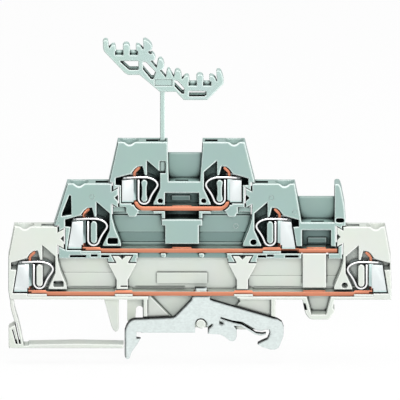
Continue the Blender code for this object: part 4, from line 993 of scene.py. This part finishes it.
class TERMINAL_OT_conductor_pockets(LooksOperator, bpy.types.Operator):
    """Dress the six sheet pockets"""

    bl_idname = "terminal.conductor_pockets"
    bl_label = "Conductor Pockets"

    def execute(self, context):
        looks = context.scene.terminal_metal
        # Bright tinned sheet, and its set-back lip in painted shade, as it turns away from the
        # light.
        sheet = metal(
            "tinned_sheet",
            looks.sheet,
            linear("5A6462"),
            roughness=0.35,
            grain=1.2,
            stretch=(1, 1, 0.3),
            contrast=0.05,
            metallic=0.4,
        )
        folded = {"grain": 0.8, "stretch": (1, 1, 0.2), "contrast": 0.1}
        lip = metal("tinned_sheet_lip", looks.lip, linear("2C3432"), roughness=0.4, **folded)
        # A black strip of painted shadow under the pocket: nearly black.
        dark = metal(
            "pocket_painted_shadow", looks.black_shade, linear("0A0C0C"), roughness=0.5, **folded
        )
        for clamp in CLAMPS:
            node = "pocket_" + clamp
            piece = dressed_copy(node, "folded_" + node, looks.edge_radius)
            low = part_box(node)[0]
            start, sill = low.y + LIP_START * MM, low.z + POCKET_SILL * MM
            split(piece, (0, 0, 1), (sill,))

            # The lip and the sill under the pocket take the lip colour: painted shade.
            def lip_or_sill_shade(face):
                return int(face.center.z < sill or start < face.center.y < start + LIP_DEPTH * MM)

            paint(piece, (sheet, lip), lip_or_sill_shade)
            if not clamp.startswith("upper"):
                self.shade_seat(clamp, node, dark)
            seat(piece, node)
        return {"FINISHED"}

    def shade_seat(self, clamp, node, dark):
        """A black strip of painted shadow closes the slit under the pocket."""
        low, high = (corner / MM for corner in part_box(node))
        left, right, front, base = low.x, high.x, low.y, low.z
        if clamp == "middle_right":
            left, right, front, base = LONG_SLIT
        foot = base - SHADOW_STRIP_HEIGHT
        outline = ((left, foot), (right, foot), (right, base), (left, base))
        shadow_strip = prism("sheet_fold_" + clamp, outline, front, front + SHADOW_STRIP_DEPTH)
        round_edges(shadow_strip, SHADE_STRIP_ROUNDING * MM)
        paint(shadow_strip, (dark,))
        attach(shadow_strip, "block")


class TERMINAL_OT_mounting_foot(LooksOperator, bpy.types.Operator):
    """Dress the stamped mounting foot"""

    bl_idname = "terminal.mounting_foot"
    bl_label = "Mounting Foot"

    def execute(self, context):
        looks = context.scene.terminal_metal
        # Nickel-plated steel, barrel plated: a cloudy grain with a cool tint.
        plated = metal(
            "nickel_plated_steel",
            looks.plate,
            linear("6A7476"),
            roughness=0.36,
            grain=0.55,
            stretch=(0.8, 1, 1.3),
            contrast=0.36,
            metallic=0.8,
            line=list(looks.black_shade),
        )
        # The upper cut edges lie in the shade of the housing, painted as a dark line.
        black_shade = metal(
            "steel_edge_painted_shade",
            looks.black_shade,
            linear("0A0C0C"),
            roughness=0.5,
            grain=0.3,
            stretch=(1, 0.2, 1),
            contrast=0.2,
        )

        # Cut edges that look up or left take painted shade.
        def cut_edge(face):
            return int(face.normal.z > SHEARED_UP or face.normal.x < SHEARED_LEFT)

        piece = dressed_copy("mounting_foot", "stamped_mounting_foot")
        paint(piece, (plated, black_shade), cut_edge)
        seat(piece, "mounting_foot")
        return {"FINISHED"}


class TERMINAL_OT_studio(LooksOperator, bpy.types.Operator):
    """Make the floor, the lights, the world and the camera"""

    bl_idname = "terminal.studio"
    bl_label = "Studio"

    def execute(self, context):
        looks = context.scene.terminal_stage
        low, high = CAD_BOX
        self.make_floor(looks, low.z - looks.floor_drop)
        self.make_sky(context, looks)
        middle = (low + high) / 2
        self.make_lamp("key_light", looks.key_power, middle, KEY_OFFSET)
        self.make_lamp("top_light", looks.top_power, middle, TOP_OFFSET)
        self.make_camera(context, looks)
        context.scene.view_settings.view_transform = "Standard"
        return {"FINISHED"}

    def make_floor(self, looks, height):
        place = (0.0, FLOOR_BACK, height)
        bpy.ops.mesh.primitive_plane_add(size=FLOOR_SIZE, location=place)
        floor = bpy.context.object
        floor.name = "floor"
        # Seamless white paper: matte and even, so that only the soft shadow shows.
        made, tree, shader = new_material("white_paper_sweep")
        shader.inputs["Base Color"].default_value = looks.floor
        shader.inputs["Roughness"].default_value = 0.9
        # Where it is seen, most of its white is a glow. The rest is lit, so that the shadow shows.
        share = add_node(
            tree, "Math", {"operation": "MULTIPLY", 1: FLOOR_GLOW}, {0: seen_directly(tree)}
        )
        glow = add_node(tree, "Emission", {"Color": (1, 1, 1, 1), "Strength": 1.0})
        mixed = add_node(
            tree,
            "MixShader",
            {},
            {0: share.outputs["Value"], 1: shader.outputs["BSDF"], 2: glow.outputs["Emission"]},
        )
        tree.links.new(mixed.outputs["Shader"], tree.nodes["Material Output"].inputs["Surface"])
        floor.data.materials.append(made)

    def make_sky(self, context, looks):
        sky = bpy.data.worlds.new("studio_sky")
        context.scene.world = sky
        sky.use_nodes = True
        tree = sky.node_tree
        strength = add_node(
            tree, "MapRange", {"To Min": looks.sky, "To Max": 1.0}, {"Value": seen_directly(tree)}
        )
        tree.nodes["Background"].inputs["Color"].default_value = (1, 1, 1, 1)
        tree.links.new(strength.outputs["Result"], tree.nodes["Background"].inputs["Strength"])

    def make_lamp(self, name, power, middle, offset):
        """A square lamp that stands off the middle of the block and looks at it."""
        data = bpy.data.lights.new(name, "AREA")
        data.energy = power
        data.size = LAMP_SIZE
        lamp = bpy.data.objects.new(name, data)
        bpy.context.scene.collection.objects.link(lamp)
        lamp.location = middle + offset
        lamp.rotation_euler = (-offset).to_track_quat("-Z", "Y").to_euler()

    def make_camera(self, context, looks):
        data = bpy.data.cameras.new("camera")
        data.type = "ORTHO"
        data.ortho_scale = PICTURE_PIXELS * looks.pixel
        data.clip_end = 5.0
        camera = bpy.data.objects.new("camera", data)
        context.scene.collection.objects.link(camera)
        context.scene.camera = camera
        flat, height = math.cos(looks.elevation), math.sin(looks.elevation)
        towards = Vector(
            (-math.sin(looks.azimuth) * flat, -math.cos(looks.azimuth) * flat, height)
        )
        turned = towards.to_track_quat("Z", "Y").to_matrix().to_4x4()
        turned = turned @ Matrix.Rotation(looks.roll, 4, "Z")
        right, up = turned.col[0].to_3d(), turned.col[1].to_3d()
        seat_point = Vector((0.0, CAD_BOX[0].y, 0.0))
        half = PICTURE_PIXELS / 2
        aim = seat_point - right * (looks.seat_column - half) * looks.pixel
        aim = aim - up * (half - looks.seat_row) * looks.pixel
        camera.matrix_world = Matrix.Translation(aim + towards * CAMERA_DISTANCE) @ turned


class TERMINAL_PT_looks(bpy.types.Panel):
    """Lists the looks of the terminal block"""

    bl_idname = "TERMINAL_PT_looks"
    bl_label = "Terminal Block"
    bl_space_type = "VIEW_3D"
    bl_region_type = "UI"
    bl_category = "Terminal Block"

    def draw(self, context):
        for settings in (
            context.scene.terminal_housing,
            context.scene.terminal_metal,
            context.scene.terminal_stage,
        ):
            column = self.layout.column()
            for name in settings.__annotations__:
                column.prop(settings, name)
        for step in STEPS:
            self.layout.operator(step.bl_idname)


SETTINGS = (HousingLooks, MetalLooks, StageLooks)
STEPS = (
    TERMINAL_OT_studio,
    TERMINAL_OT_housings,
    TERMINAL_OT_back_plates,
    TERMINAL_OT_ejector_marks,
    TERMINAL_OT_marker_carrier,
    TERMINAL_OT_bus_bars,
    TERMINAL_OT_clamp_springs,
    TERMINAL_OT_conductor_pockets,
    TERMINAL_OT_mounting_foot,
)


def register():
    for kind in (*SETTINGS, *STEPS, TERMINAL_PT_looks):
        bpy.utils.register_class(kind)
    bpy.types.Scene.terminal_housing = PointerProperty(type=HousingLooks)
    bpy.types.Scene.terminal_metal = PointerProperty(type=MetalLooks)
    bpy.types.Scene.terminal_stage = PointerProperty(type=StageLooks)


def unregister():
    del bpy.types.Scene.terminal_housing
    del bpy.types.Scene.terminal_metal
    del bpy.types.Scene.terminal_stage
    for kind in (TERMINAL_PT_looks, *reversed(STEPS), *reversed(SETTINGS)):
        bpy.utils.unregister_class(kind)


def main():
    register()
    for step in STEPS:
        group, name = step.bl_idname.split(".")
        getattr(getattr(bpy.ops, group), name)()


if __name__ == "__main__":
    main()
